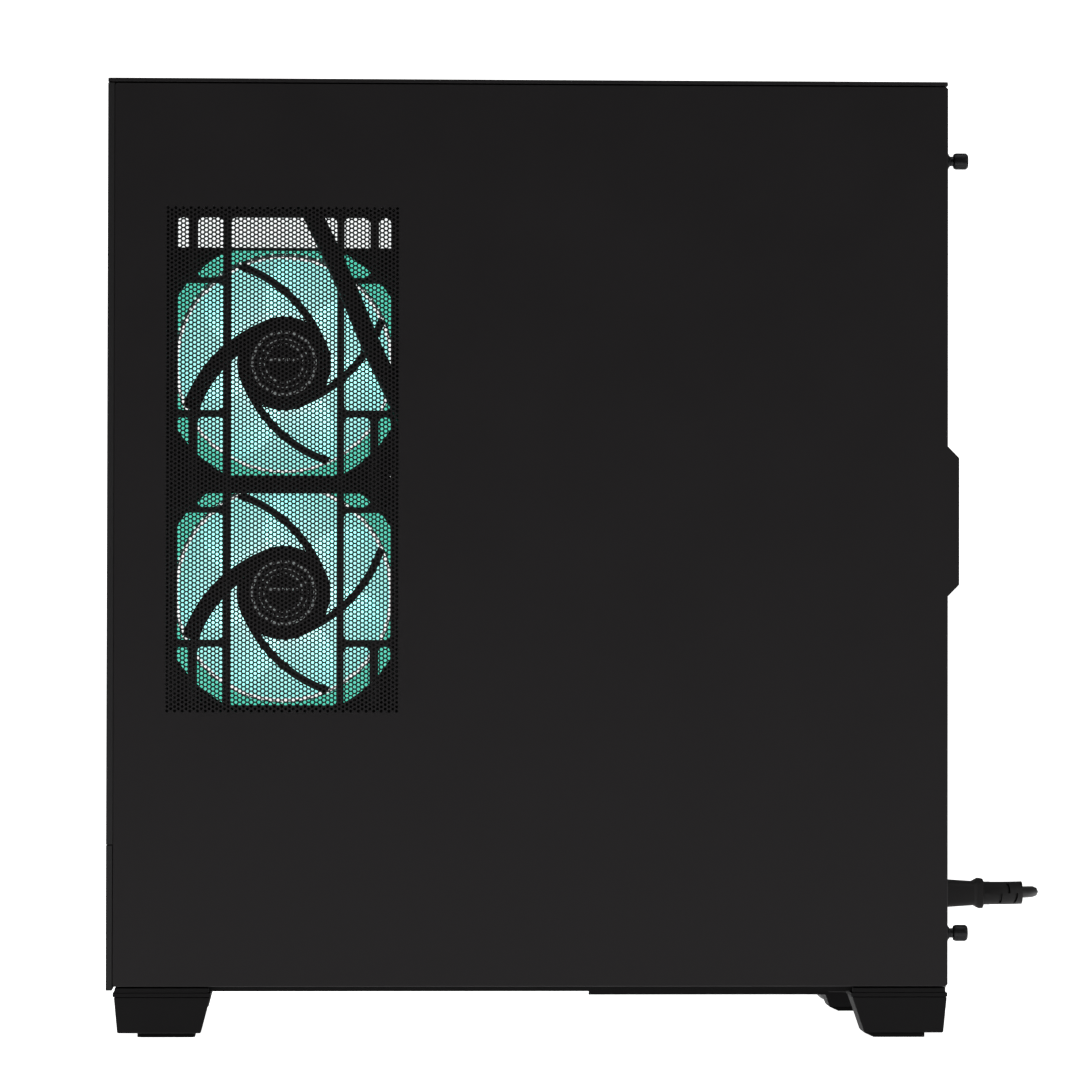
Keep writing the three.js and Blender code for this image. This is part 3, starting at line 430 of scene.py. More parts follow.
# ------------------------------------------------------------------ power lead
CORD = 6 * MM
INLET = Vector((-24, 0, 69.7)) * MM
BEND = 4 * CORD
BEND_START = REAR + 42 * MM
RELIEF_START = REAR + 39 * MM
RELIEF_TURN = 0.56
PAST_RELIEF = 0.7 * MM
CORD_START = Vector((
    INLET.x - BEND * (1 - math.cos(RELIEF_TURN)) - PAST_RELIEF * math.sin(RELIEF_TURN),
    BEND_START + BEND * math.sin(RELIEF_TURN) + PAST_RELIEF * math.cos(RELIEF_TURN),
    INLET.z))
COIL = Vector((-FACE - 68 * MM, REAR - 4 * MM, 0))


def smooth_through(points, steps=6):
    """A smooth line through points."""
    line = []
    ends = [points[0] * 2 - points[1], *points, points[-1] * 2 - points[-2]]
    for a, b, c, d in zip(ends, ends[1:], ends[2:], ends[3:]):
        for i in range(steps):
            t = i / steps
            line.append(0.5 * (2 * b + (c - a) * t + (2 * a - 5 * b + 4 * c - d) * t * t
                               + (3 * b - 3 * c + d - a) * t ** 3))
    return [*line, points[-1]]


def coil_line():
    """Eight turns and a quarter, in two rings and four layers, each a little uneven."""
    turns = 8.25
    steps = 64
    rings = [34, 28, 28, 34, 34, 28, 28, 34, 34]
    heights = [21, 21, 15, 15, 9, 9, 3, 3, 3]
    points = []
    for i in range(1, int(turns * steps) + 1):
        number, share = divmod(i / steps, 1)
        ease = min(1, max(0, (share - 0.82) / 0.18))
        ease = ease * ease * (3 - 2 * ease)
        k = min(int(number), 8)
        after = min(k + 1, 8)
        angle = -math.tau * i / steps
        radius = rings[k] + (rings[after] - rings[k]) * ease + 0.25 * math.sin(3 * angle + k)
        height = heights[k] + (heights[after] - heights[k]) * ease
        points.append(COIL + Vector((radius * math.cos(angle), radius * math.sin(angle), height)) * MM)
    return points


def lay_cord():
    """The mains cord: down from the plug, round its coil, and along the floor to the wall plug."""
    down = [(-33.1, 277.3, 69.7), (-40.4, 281.3, 69.6), (-48, 282.5, 69.4), (-57, 280.5, 69),
            (-67, 275.5, 68.4), (-79, 267.5, 67.2), (-92, 258, 66.2), (-105, 248, 64.6),
            (-117, 240, 60.5), (-130, 236, 51.5), (-141, 231.5, 39.5), (-149.2, 225.2, 29.2),
            (-153, 219, 23.6)]
    away = [(-196, 178.5, 3), (-203, 178.5, 3), (-210.5, 178.5, 3.2), (-216, 178.3, 3.7),
            (-222, 178, 5.8), (-228.4, 178, 8.6)]
    in_metres = lambda points: [Vector(p) * MM for p in points]
    first = smooth_through([CORD_START, *in_metres(down), COIL + Vector((34, 0, 21)) * MM])
    line = [*first, *coil_line(), *smooth_through(in_metres(away), 3)]
    cord = make_lead("mains_cord", line, CORD, cord_vinyl, 2)
    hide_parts("power_cord", "power_cord_coil", "power_cord_end")
    return cord


def rounded_ring(bm, centre, across, up, half_wide, half_high, corner, steps=3):
    """One closed ring of points, a rounded rectangle square to a line."""
    ring = rounded_points((-half_wide, half_wide), (-half_high, half_high), corner, steps)
    return [bm.verts.new(centre + across * u + up * v) for u, v in ring]


def make_plug():
    """The moulded plug: a plain body, a collar, and a slotted relief that bends away."""
    x_way, z_way = Vector((1, 0, 0)), Vector((0, 0, 1))
    bm = bmesh.new()
    shape = [(-16.2, 11.6, 7.2, 2), (-1, 11.6, 7.2, 2), (-0.6, 13, 8.2, 2.6), (3, 12.9, 8.1, 2.6)]
    shape += [(29.6, 10.6, 6.4, 2.6), (31.4, 8.6, 7.7, 3), (32.6, 8.4, 8.3, 3), (34.6, 8.2, 8.1, 3),
              (35.3, 7.2, 7.1, 4), (35.5, 6.4, 6.4, 6.3), (39.1, 6.4, 6.4, 6.3), (39.3, 5, 5, 4.9)]
    rings = [rounded_ring(bm, Vector((INLET.x, REAR + d * MM, INLET.z)), x_way, z_way,
                          w * MM, h * MM, c * MM) for d, w, h, c in shape]
    add_loft(bm, rings)
    for dx in (-7, 0, 7):
        add_block(bm, (INLET.x + (dx - 1.3) * MM, INLET.x + (dx + 1.3) * MM),
                  (REAR - 16.4 * MM, REAR - 16 * MM), (INLET.z - 2.4 * MM, INLET.z + 2.4 * MM))
    body = finished("mains_plug_body", bm, plug_vinyl, replaces=["power_plug"])
    bm = bmesh.new()
    add_slotted_relief(bm)
    relief = finished("mains_plug_relief", bm, plug_vinyl)
    return [body, relief]


def relief_place(along):
    """The middle of the strain relief and its direction, so far along it."""
    straight = BEND_START - RELIEF_START
    turned = max(0.0, along - straight) / BEND
    run = min(along, straight) + BEND * math.sin(turned)
    place = Vector((INLET.x - BEND * (1 - math.cos(turned)), RELIEF_START + run, INLET.z))
    return place, Vector((-math.sin(turned), math.cos(turned), 0))


def add_slotted_relief(bm, length=19.6, radius=6.3):
    """A plain round sleeve, cut square, with short slots by turns below and above its middle."""
    sides = 24
    edges = [0, 4.7, 5.9, 8.4, 9.6, 12.2, 13.4, 15.8, 17, length]
    rings = []
    for along in edges:
        centre, ahead = relief_place(along * MM)
        across = ahead.cross(Vector((0, 0, 1))).normalized()
        up = across.cross(ahead)
        angles = [math.tau * i / sides for i in range(sides)]
        rings.append([bm.verts.new(centre + (across * math.cos(a) + up * math.sin(a)) * radius * MM)
                      for a in angles])
    add_loft(bm, rings)
    bmesh.ops.recalc_face_normals(bm, faces=bm.faces)
    for low, starts in ((1, (20, 12)), (3, (0, 8)), (5, (20, 12)), (7, (0, 8))):
        for start in starts:
            cut = []
            for i in range(start, start + 4):
                j = (i + 1) % sides
                both = {rings[low][i], rings[low][j], rings[low + 1][i], rings[low + 1][j]}
                cut += [f for f in bm.faces if set(f.verts) == both]
            bmesh.ops.inset_region(bm, faces=cut, thickness=0.05 * MM, depth=-1.2 * MM)
    ends = bmesh.ops.bisect_plane(bm, geom=[*bm.verts, *bm.edges, *bm.faces], dist=1e-7,
                                  plane_co=(0, REAR + 57.6 * MM, 0), plane_no=(0, 1, 0), clear_outer=True)
    bmesh.ops.holes_fill(bm, edges=[g for g in ends["geom_cut"] if isinstance(g, bmesh.types.BMEdge)])


def add_ribbed_relief(bm, place_at, first, last, length, ribs):
    """A round sleeve in thick ribs with narrow gaps, joined by a core."""
    sides, core = 20, 0.72
    rib = length / ribs
    stations = []
    for k in range(ribs):
        low, high = k * rib, k * rib + rib
        stations += [(low, core), (low + 0.15, 1), (high - 1.15, 1), (high - 1, core)]
    rings = []
    for along, share in stations:
        centre, ahead = place_at(along * MM)
        across = ahead.cross(Vector((0, 0, 1))).normalized()
        up = across.cross(ahead)
        radius = (first + (last - first) * along / length) * share * MM
        rings.append([bm.verts.new(centre + (across * math.cos(math.tau * i / sides)
                                             + up * math.sin(math.tau * i / sides)) * radius)
                      for i in range(sides)])
    add_loft(bm, rings)


def make_wall_plug():
    """A flat three-blade plug lying on the floor."""
    start = -229.5 * MM
    y_mid = 178 * MM
    bm = bmesh.new()
    y_way, z_way = Vector((0, 1, 0)), Vector((0, 0, 1))
    shape = [(-12, 7, 6, 2.5), (-12.6, 9, 7.5, 3), (-18, 12.4, 9, 4), (-34, 13, 9.4, 4.4),
             (-36.4, 12.6, 9, 4.4), (-37, 11.6, 8.2, 4)]
    rings = [rounded_ring(bm, Vector((start + d * MM, y_mid, 9.6 * MM)), y_way, z_way,
                          w * MM, h * MM, c * MM) for d, w, h, c in shape]
    add_loft(bm, rings)
    back = lambda along: (Vector((start - 13 * MM + along, y_mid, 9.2 * MM)), Vector((1, 0, 0)))
    add_ribbed_relief(bm, back, 6.3, 4.2, 13.6, 4)
    body = finished("wall_plug_body", bm, plug_vinyl, replaces=["wall_plug"])
    bm = bmesh.new()
    for side in (-1, 1):
        add_block(bm, (start - 54 * MM, start - 36 * MM),
                  (y_mid + (side * 6.35 - 0.8) * MM, y_mid + (side * 6.35 + 0.8) * MM), (4.2 * MM, 10.6 * MM))
    add_turned(bm, [(0, start - 57 * MM), (1.6 * MM, start - 56.4 * MM), (2.4 * MM, start - 54 * MM),
                    (2.4 * MM, start - 36 * MM), (0, start - 36 * MM)], "x", (0, y_mid, 14.4 * MM), 20)
    blades = finished("wall_plug_blades", bm, brass_pin, bevel=0.25 * MM)
    return [body, blades]


def make_coil_tie():
    """A soft tie strapped round one side of the coil."""
    bm = bmesh.new()
    angle = math.radians(118)
    out = Vector((math.cos(angle), math.sin(angle), 0))
    along = Vector((-out.y, out.x, 0))
    middle_place = COIL + out * 31 * MM + Vector((0, 0, 12.35 * MM))
    ring = []
    for grow in (0.2, 1.0):
        edge = rounded_points((-(6.1 + grow) * MM, (6.1 + grow) * MM),
                              (-12.2 * MM - grow * 0.1 * MM, (12 + grow) * MM), 3 * MM, 4)
        ring.append([[bm.verts.new(middle_place + out * u + Vector((0, 0, v)) + along * side * 5 * MM)
                      for u, v in edge] for side in (-1, 1)])
    (in_low, in_high), (out_low, out_high) = ring
    count = len(in_low)
    for i in range(count):
        j = (i + 1) % count
        for a, b in ((in_high, in_low), (out_low, out_high), (in_low, out_low), (out_high, in_high)):
            bm.faces.new((a[i], a[j], b[j], b[i]))
    return finished("cord_tie", bm, sleeve_black)


aim_camera()
lay_floor()
light_studio()
cord = lay_cord()
make_plug()
make_wall_plug()
make_coil_tie()


# ------------------------------------------------------------------ steel side panel and its vent
PANEL = "right_side_panel"
VENT_PITCH = 2.33 * MM
VENT_CELL = VENT_PITCH / math.sqrt(3)
VENT_COLUMNS = 61
VENT_ROWS = 115
VENT_MIDDLE = (FRONT + 92.35 * MM, 305.1 * MM)
VENT_HALF = ((VENT_COLUMNS // 2) * 1.5 * VENT_CELL + 2.6 * MM,
             (VENT_ROWS // 2) * VENT_PITCH + 2.3 * MM)
SCREW_X = FACE - 14.5 * MM
SCREW_HEIGHTS = {"upper": 465.5 * MM, "lower": 54.5 * MM}


def make_vent(name, rows):
    """A sheet of hexagon cells, each with a hole in it but for the ones round the outside."""
    bm = bmesh.new()
    solid_cells = set()
    mid_y, mid_z = VENT_MIDDLE
    for i in range(-1, VENT_COLUMNS + 1):
        odd = (i + VENT_COLUMNS // 2) % 2
        for j in rows:
            y = mid_y + (i - VENT_COLUMNS // 2) * 1.5 * VENT_CELL
            z = mid_z + (j - VENT_ROWS // 2 + odd / 2) * VENT_PITCH
            ring = arc_points(y, z, VENT_CELL, 0, math.tau * 5 / 6, 5)
            cell = bm.faces.new([bm.verts.new((FACE, v, w)) for v, w in ring])
            if i in (-1, VENT_COLUMNS) or j == -1 or j >= VENT_ROWS - odd:
                solid_cells.add(cell)
    bmesh.ops.remove_doubles(bm, verts=bm.verts, dist=0.1 * MM)
    holed = [f for f in bm.faces if f not in solid_cells]
    bmesh.ops.inset_individual(bm, faces=holed, thickness=0.41 * MM, use_even_offset=True)
    bmesh.ops.delete(bm, geom=holed, context="FACES_ONLY")
    centre = Vector((0, mid_y, mid_z))
    for way, half in (((0, 1, 0), VENT_HALF[0]), ((0, -1, 0), VENT_HALF[0]),
                      ((0, 0, 1), VENT_HALF[1]), ((0, 0, -1), VENT_HALF[1])):
        bmesh.ops.bisect_plane(bm, geom=[*bm.verts, *bm.edges, *bm.faces], dist=1e-7,
                               plane_co=centre + Vector(way) * half, plane_no=way, clear_outer=True)
    loose = [v for v in bm.verts if not v.link_faces]
    bmesh.ops.delete(bm, geom=loose, context="VERTS")
    thicken(bm)
    return finished(name, bm, powder_coat, PANEL, replaces=["right_side_panel"], turn_out=False)


def thicken(bm):
    """Gives a skin that faces out the sheet's thickness inwards."""
    bmesh.ops.solidify(bm, geom=list(bm.faces), thickness=SHEET)


def folded_tray(plane, box, hole, depths, notch=1.1 * MM, bend=0.6 * MM):
    """A sheet at x = plane with four edges folded in, notched corners and a hole."""
    bm = bmesh.new()
    (y0, y1), (z0, z1) = box
    front_depth, rear_depth, low_depth, high_depth = depths
    ring = [(y0 + notch, z0), (y1 - notch, z0), (y1, z0 + notch), (y1, z1 - notch),
            (y1 - notch, z1), (y0 + notch, z1), (y0, z1 - notch), (y0, z0 + notch)]
    outer = [bm.verts.new((plane, y, z)) for y, z in ring]
    (h0, h1), (k0, k1) = hole
    inner = [bm.verts.new((plane, y, z)) for y, z in ((h0, k0), (h1, k0), (h1, k1), (h0, k1))]
    for k in range(4):
        a, b = 2 * k, 2 * k + 1
        c, d = inner[k], inner[(k + 1) % 4]
        bm.faces.new((outer[a], outer[b], d, c))
        bm.faces.new((outer[b], outer[(b + 1) % 8], d))
    for face in bm.faces:
        face.normal_update()
    bends = []
    for k, depth in enumerate((low_depth, rear_depth, high_depth, front_depth)):
        edge = bm.edges.get((outer[2 * k], outer[2 * k + 1]))
        grown = bmesh.ops.extrude_edge_only(bm, edges=[edge])["geom"]
        away = [g for g in grown if isinstance(g, bmesh.types.BMVert)]
        bmesh.ops.translate(bm, vec=(-depth, 0, 0), verts=away)
        bends.append(edge)
    bmesh.ops.bevel(bm, geom=bends, offset=bend, offset_type="OFFSET", segments=3, profile=0.5,
                    affect="EDGES", material=-1)
    bmesh.ops.recalc_face_normals(bm, faces=bm.faces)
    widest = max(bm.faces, key=lambda f: f.calc_area())
    if widest.normal.x < 0:
        bmesh.ops.reverse_faces(bm, faces=bm.faces)
    return bm


def make_side_panel():
    """The steel panel: its folded sheet, its vent in two pieces, its pull and its screws' sleeves."""
    box = ((PANEL_LOW.y, REAR), (PANEL_LOW.z, PANEL_HIGH.z))
    hole = [(m - h, m + h) for m, h in zip(VENT_MIDDLE, VENT_HALF)]
    bm = folded_tray(FACE, box, hole, (9 * MM, 21 * MM, 9 * MM, 9 * MM))
    thicken(bm)
    finished("side_panel_sheet", bm, powder_coat, PANEL, replaces=["right_side_panel"],
             turn_out=False, sharp=12)
    make_vent("side_vent_low", range(-1, 58))
    make_vent("side_vent_high", range(58, VENT_ROWS + 1))
    make_pull_tab()
    for height in SCREW_HEIGHTS.values():
        make_ferrule(height)


def make_pull_tab():
    """The tab behind the panel's rear edge, with slanted ends and a lip folded in."""
    low, high = 233.5 * MM, 313 * MM
    inset, tip, end = 0.9 * MM, REAR + 6 * MM, 6.2 * MM
    bm = bmesh.new()
    edge = [(REAR - inset, low), (REAR, low), (tip - inset, low + end - 1 * MM), (tip, low + end),
            (tip, high - end), (tip - inset, high - end + 1 * MM), (REAR, high), (REAR - inset, high)]
    add_outline(bm, edge, "x", FACE - SHEET, FACE)
    add_block(bm, (FACE - 12 * MM, FACE - 0.5 * MM), (tip - SHEET, tip),
              (low + 6.4 * MM, high - 6.4 * MM))
    finished("panel_pull_tab", bm, powder_coat, PANEL, bevel=0.35 * MM)


def make_ferrule(height):
    """The captive sleeve round a thumbscrew: a foot and a cone with fine rings."""
    bm = bmesh.new()
    profile = [(0, REAR - 0.2 * MM), (5.8 * MM, REAR - 0.2 * MM), (5.8 * MM, REAR + 0.4 * MM)]
    for k in range(4):
        radius = (5.5 - 0.75 * k) * MM
        start = REAR + (0.5 + 0.48 * k) * MM
        profile += [(radius, start), (radius, start + 0.2 * MM), (radius - 0.3 * MM, start + 0.3 * MM)]
    profile += [(2.9 * MM, REAR + 2.4 * MM), (2.4 * MM, REAR + 2.4 * MM), (0, REAR + 2.4 * MM)]
    add_turned(bm, profile, "y", (SCREW_X, 0, height), 32)
    finished("ferrule", bm, screw_black, PANEL)


def make_thumbscrew(place, height):
    """A shank, a neck, and a head with a rounded, hollow end and a fluted grip."""
    centre = (SCREW_X, 0, height)
    bm = bmesh.new()
    low, tip = REAR + 4.8 * MM, REAR + 12 * MM
    profile = [(0, REAR - 10 * MM), (1.3 * MM, REAR - 10 * MM), (1.7 * MM, REAR - 9 * MM),
               (1.7 * MM, REAR + 2.7 * MM), (2.6 * MM, REAR + 2.7 * MM), (2.6 * MM, low - 0.7 * MM),
               (3.4 * MM, low - 0.5 * MM), (4.0 * MM, low - 0.2 * MM), (4.2 * MM, low + 0.4 * MM),
               (4.2 * MM, REAR + 10.6 * MM), (4.0 * MM, REAR + 11.4 * MM), (3.3 * MM, tip),
               (2.2 * MM, tip), (2.0 * MM, REAR + 11.3 * MM), (0, REAR + 11.3 * MM)]
    add_turned(bm, profile, "y", centre, 40)
    flutes = 28
    for k in range(flutes):
        turn = Matrix.Rotation(math.tau * k / flutes, 3, "Y")
        made = add_block(bm, mm(4.05, 4.35), (low + 0.7 * MM, REAR + 10.9 * MM), mm(-0.16, 0.16))
        bmesh.ops.rotate(bm, verts=made, cent=(0, 0, 0), matrix=turn)
        bmesh.ops.translate(bm, verts=made, vec=centre)
    finished(f"{place}_thumbscrew_grip", bm, screw_black, f"{place}_thumbscrew",
             replaces=[f"thumbscrew_{place}"])


make_side_panel()
for screw, screw_height in SCREW_HEIGHTS.items():
    make_thumbscrew(screw, screw_height)


# ------------------------------------------------------------------ fans
FAN_TURN = {
    "+x": Matrix(((0, 0, -1), (0, 1, 0), (1, 0, 0))),
    "+y": Matrix(((1, 0, 0), (0, 0, -1), (0, 1, 0))),
    "+z": Matrix(((1, 0, 0), (0, -1, 0), (0, 0, -1))),
}
STRUTS = ((86, 4), (176, 4), (266, 4), (356, 9))  # each one's angle in degrees and width in mm
FAN_SCREW = 52.5
SIDE_FAN_X = 104.5 * MM
SIDE_FAN_Y = FRONT + 93 * MM
SIDE_FANS = {"upper": 356.6 * MM, "lower": 234.8 * MM}
REAR_FAN = (-21.6, 372)


def place_fan(bm, facing, point):
    """Turns a fan built about z, struts at height 0, so that they face along an axis."""
    bmesh.ops.transform(bm, matrix=FAN_TURN[facing].to_4x4(), verts=bm.verts)
    bmesh.ops.translate(bm, vec=point, verts=bm.verts)


def square_point(angle, half, corner):
    """Where a ray from the middle meets a square with round corners."""
    c, s = abs(math.cos(angle)), abs(math.sin(angle))
    reach = half / max(c, s)
    inner = half - corner
    if reach * min(c, s) <= inner:
        return reach
    along = inner * (c + s)
    return along + math.sqrt(max(0, along * along - 2 * inner * inner + corner * corner))


def fan_ring(bm, z, radius_at, sides=96):
    """A ring of points round z whose radius may change with the angle."""
    ring = []
    for i in range(sides):
        angle = math.tau * (i + 0.5) / sides
        radius = radius_at(angle)
        ring.append(bm.verts.new((radius * math.cos(angle), radius * math.sin(angle), z)))
    return ring


def add_fan_frame(bm, depth=25 * MM):
    """A square frame: two screw flanges, a slimmer wall between them and a round bore."""
    square = lambda angle: square_point(angle, 60 * MM, 5 * MM)
    eased = lambda angle: square(angle) - 0.5 * MM
    waist = lambda angle: min(square(angle) - 1 * MM, 61.5 * MM)
    bore = lambda angle: 58 * MM
    flare = lambda angle: 59.2 * MM
    z = [0, 0.5 * MM, 3.6 * MM, depth - 3.6 * MM, depth - 0.5 * MM, depth]
    out = [fan_ring(bm, z[0], eased), fan_ring(bm, z[1], square),
           fan_ring(bm, z[2], square), fan_ring(bm, z[2], waist), fan_ring(bm, z[3], waist),
           fan_ring(bm, z[3], square), fan_ring(bm, z[4], square),
           fan_ring(bm, z[5], eased), fan_ring(bm, z[5], flare),
           fan_ring(bm, depth - 2 * MM, bore), fan_ring(bm, 2 * MM, bore), fan_ring(bm, 0, flare)]
    for first, second in zip(out, [*out[1:], out[0]]):
        bridge(bm, first, second)


def strut_outline(start, width):
    """A strut that leaves the hub along its edge and swings out to the bore."""
    hub, reach, count = 24.6, 58.6, 20
    last = ((reach / hub - 1) / 0.2) ** (1 / 3)
    outer = []
    for i in range(count + 1):
        swing = last * i / count
        radius = hub * (1 + 0.2 * swing ** 3)
        angle = math.radians(start) - swing
        outer.append(Vector((radius * math.cos(angle), radius * math.sin(angle))))
    inner = []
    for i, point in enumerate(outer):
        ahead = (outer[min(i + 1, count)] - outer[max(i - 1, 0)]).normalized()
        moved = point + Vector((ahead.y, -ahead.x)) * width
        if moved.length > hub:
            inner.append(moved)
    meet = math.atan2(inner[0].y, inner[0].x)
    back = (math.radians(start) - meet) % math.tau
    root = [Vector((math.cos(meet + back * k / 8), math.sin(meet + back * k / 8))) * hub
            for k in range(8)]
    return [tuple(point * MM) for point in [*outer, *reversed(inner), *root]]


def make_fan_frame(name, facing, point, halo=True):
    """The fan's still parts: frame, struts, hub plate, screw posts, label and maybe a lit ring."""
    bm = bmesh.new()
    add_fan_frame(bm)
    post = [(r * MM, z * MM) for r, z in ((0, -0.05), (2.2, -0.05), (2.2, 0.4), (5.1, 0.4),
                                          (5.1, 25), (0, 25))]
    for start, width in STRUTS:
        add_outline(bm, strut_outline(start, width), "z", 0, 3.6 * MM)
        if width < 5:
            add_outline(bm, strut_outline(start, 1.2), "z", 3.6 * MM, 6.2 * MM)
    add_turned(bm, [(0, 0.5 * MM), (19.6 * MM, 0.5 * MM), (20 * MM, 0), (24.4 * MM, 0), (25 * MM, 0.5 * MM),
                    (25 * MM, 3.6 * MM), (0, 3.6 * MM)], "z", (0, 0, 0), 48)
    for u in (-1, 1):
        for v in (-1, 1):
            add_turned(bm, post, "z", (FAN_SCREW * MM * u, FAN_SCREW * MM * v, 0), 20)
    place_fan(bm, facing, point)
    finished(name + "_moulding", bm, moulded_black, replaces=[name + "_frame"])
    make_hub_label(name, facing, point)
    if halo:
        make_halo(name, facing, point)


def make_hub_label(name, facing, point):
    """A plain round label: rings of short dashes and a row of them, with nothing to read; its print glows
    faintly, a painted glow.
    """
    bm = bmesh.new()
    low, high = -0.06 * MM, 0.54 * MM
    for radius, wide, count, share in ((16.6, 1.5, 26, 0.72), (12.8, 0.6, 30, 0.6), (10.2, 0.9, 18, 0.6)):
        for k in range(count):
            start, end = math.tau * k / count, math.tau * (k + share) / count
            outer = arc_points(0, 0, (radius + wide / 2) * MM, start, end, 4)
            inner = arc_points(0, 0, (radius - wide / 2) * MM, end, start, 4)
            add_outline(bm, [*outer, *inner], "z", low, high)
    for k in range(-3, 4):
        dash = rounded_points(mm(1.2, 2.6), mm(2.3 * k - 0.8, 2.3 * k + 0.8), 0.3 * MM, 1)
        add_outline(bm, dash, "z", low, high)
    place_fan(bm, facing, point)
    finished(name + "_label", bm, label_print_painted_glow)


def make_halo(name, facing, point):
    """The lit ring round the bore: a green diffuser in the frame's face and a row of lamps."""
    bm = bmesh.new()
    inner = lambda angle: 58.4 * MM
    outer = lambda angle: min(square_point(angle, 59.6 * MM, 4.8 * MM), 66.5 * MM)
    near, far = -0.15 * MM, 0.6 * MM
    rings = [fan_ring(bm, near, inner), fan_ring(bm, near, outer),
             fan_ring(bm, far, outer), fan_ring(bm, far, inner)]
    for first, second in zip(rings, [*rings[1:], rings[0]]):
        bridge(bm, first, second)
    place_fan(bm, facing, point)
    finished(name + "_halo", bm, halo_green)
    bm = bmesh.new()
    lamps = 60
    for k in range(lamps):
        turn = Matrix.Rotation(math.tau * k / lamps, 3, "Z")
        made = add_block(bm, mm(57.25, 58.35), mm(-0.65, 0.65), mm(-0.35, 0.15))
        bmesh.ops.rotate(bm, verts=made, cent=(0, 0, 0), matrix=turn)
    place_fan(bm, facing, point)
    finished(name + "_lamps", bm, halo_white)


def add_blade(bm, k, count, hub, tip, low, high):
    """One twisted, swept blade, number k of count, with a thick root and a thin edge."""
    across, along = 9, 9
    rows = []
    for i in range(along + 1):
        share = i / along
        radius = hub + (tip - hub) * share
        middle_angle = math.tau * k / count + 0.42 * share * share
        span = math.tau / count * (1.16 - 0.04 * share)
        top_row, low_row = [], []
        for j in range(across + 1):
            t = j / across - 0.5
            angle = middle_angle + span * t
            height = (low + high) / 2 - (high - low) * t * (0.96 - 0.2 * share)
            camber = 1.6 * MM * (1 - 4 * t * t)
            thick = (0.35 + 0.75 * (1 - share)) * MM * (1 - 3.2 * t * t)
            x, y = radius * math.cos(angle), radius * math.sin(angle)
            top_row.append(bm.verts.new((x, y, height + camber + thick)))
            low_row.append(bm.verts.new((x, y, height + camber - thick)))
        rows.append([*top_row, *reversed(low_row)])
    add_loft(bm, rows)


def make_rotor(name, facing, point, material, blades=7):
    """The lit blades and the dark cup in their middle, which turn together."""
    body = name + "_rotor"
    bm = bmesh.new()
    for k in range(blades):
        add_blade(bm, k, blades, 20.5 * MM, 56.4 * MM, 6.6 * MM, 22.5 * MM)
    place_fan(bm, facing, point)
    finished(name + "_blades", bm, material, body, replaces=[body], sharp=50)
    bm = bmesh.new()
    add_turned(bm, [(0, 4.6 * MM), (20 * MM, 4.6 * MM), (22 * MM, 5.6 * MM), (22 * MM, 21.5 * MM),
                    (20.6 * MM, 23.6 * MM), (0, 24 * MM)], "z", (0, 0, 0), 48)
    place_fan(bm, facing, point)
    finished(name + "_cup", bm, moulded_black, body)


def make_side_fans():
    for place, height in SIDE_FANS.items():
        name = f"side_fan_{place}"
        point = Vector((SIDE_FAN_X, SIDE_FAN_Y, height))
        make_fan_frame(name, "+x", point)
        make_rotor(name, "+x", point, lit_blades(name + "_glow", point, "x", 1.25))


def make_inner_fans():
    point = Vector((REAR_FAN[0], 213.6, REAR_FAN[1])) * MM
    make_fan_frame("rear_fan", "+y", point, halo=False)
    make_rotor("rear_fan", "+y", point, lit_blades("rear_fan_glow", point, "y", 0.8))
    for end, y in (("front", -2.3), ("rear", 118.3)):
        name = f"radiator_fan_{end}"
        point = Vector((10, y, 471.6)) * MM
        make_fan_frame(name, "+z", point, halo=False)
        make_rotor(name, "+z", point, lit_blades(name + "_glow", point, "z", 0.8))


def make_fan_links():
    """Strips that close the gaps between, below and above the two side fans."""
    bm = bmesh.new()
    for low, high in ((294.95, 296.45), (172.6, 174.7), (416.8, 418)):
        add_block(bm, mm(84, 103.6), (SIDE_FAN_Y - 58 * MM, SIDE_FAN_Y + 58 * MM), mm(low, high))
    add_block(bm, mm(104.7, 105.7), (SIDE_FAN_Y - 57 * MM, SIDE_FAN_Y + 57 * MM), mm(287.4, 296.4))
    finished("side_fan_links", bm, moulded_black)


make_side_fans()
make_inner_fans()
make_fan_links()


# ------------------------------------------------------------------ front panel's lead
def make_front_lead():
    """The braided lead that crosses in front of the side fans."""
    axis = Vector((0, SIDE_FAN_Y, SIDE_FANS["upper"]))
    route = [(90, -9, 114), (99, -9, 114), (107, -7.8, 112.6), (112, -3, 104.5), (112.5, 6, 93),
             (112.5, 15.9, 76.4), (112.5, 33, 40.2), (112.5, 46.3, 8.8), (112.5, 55.7, -10.9),
             (112.5, 66, -32), (112, 76, -48), (108.5, 84.5, -58.5), (101.5, 89.6, -63), (93, 90.4, -63.5),
             (84, 90.4, -63.5)]
    line = smooth_through([axis + Vector(p) * MM for p in route], 5)
    lead = make_lead("front_lead", line, 10.4 * MM, sleeve_black, 3)
    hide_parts("front_panel_cable")


make_front_lead()


# ------------------------------------------------------------------ outer shell
FOOT_TOP = 23.7 * MM
COLLAR_LOW = FOOT_TOP - 2.2 * MM
PAD_TOP = 2.3 * MM


def tapered(bm, x, top, bottom, z, draft=0.8 * MM):
    """A block whose foot is shorter along y than its head, drawn in a little at the sides."""
    made = add_block(bm, x, top, z)
    for v in made:
        if v.co.z < sum(z) / 2:
            v.co.y = bottom[0] if v.co.y < sum(top) / 2 else bottom[1]
            v.co.x += draft if v.co.x < sum(x) / 2 else -draft
    return made


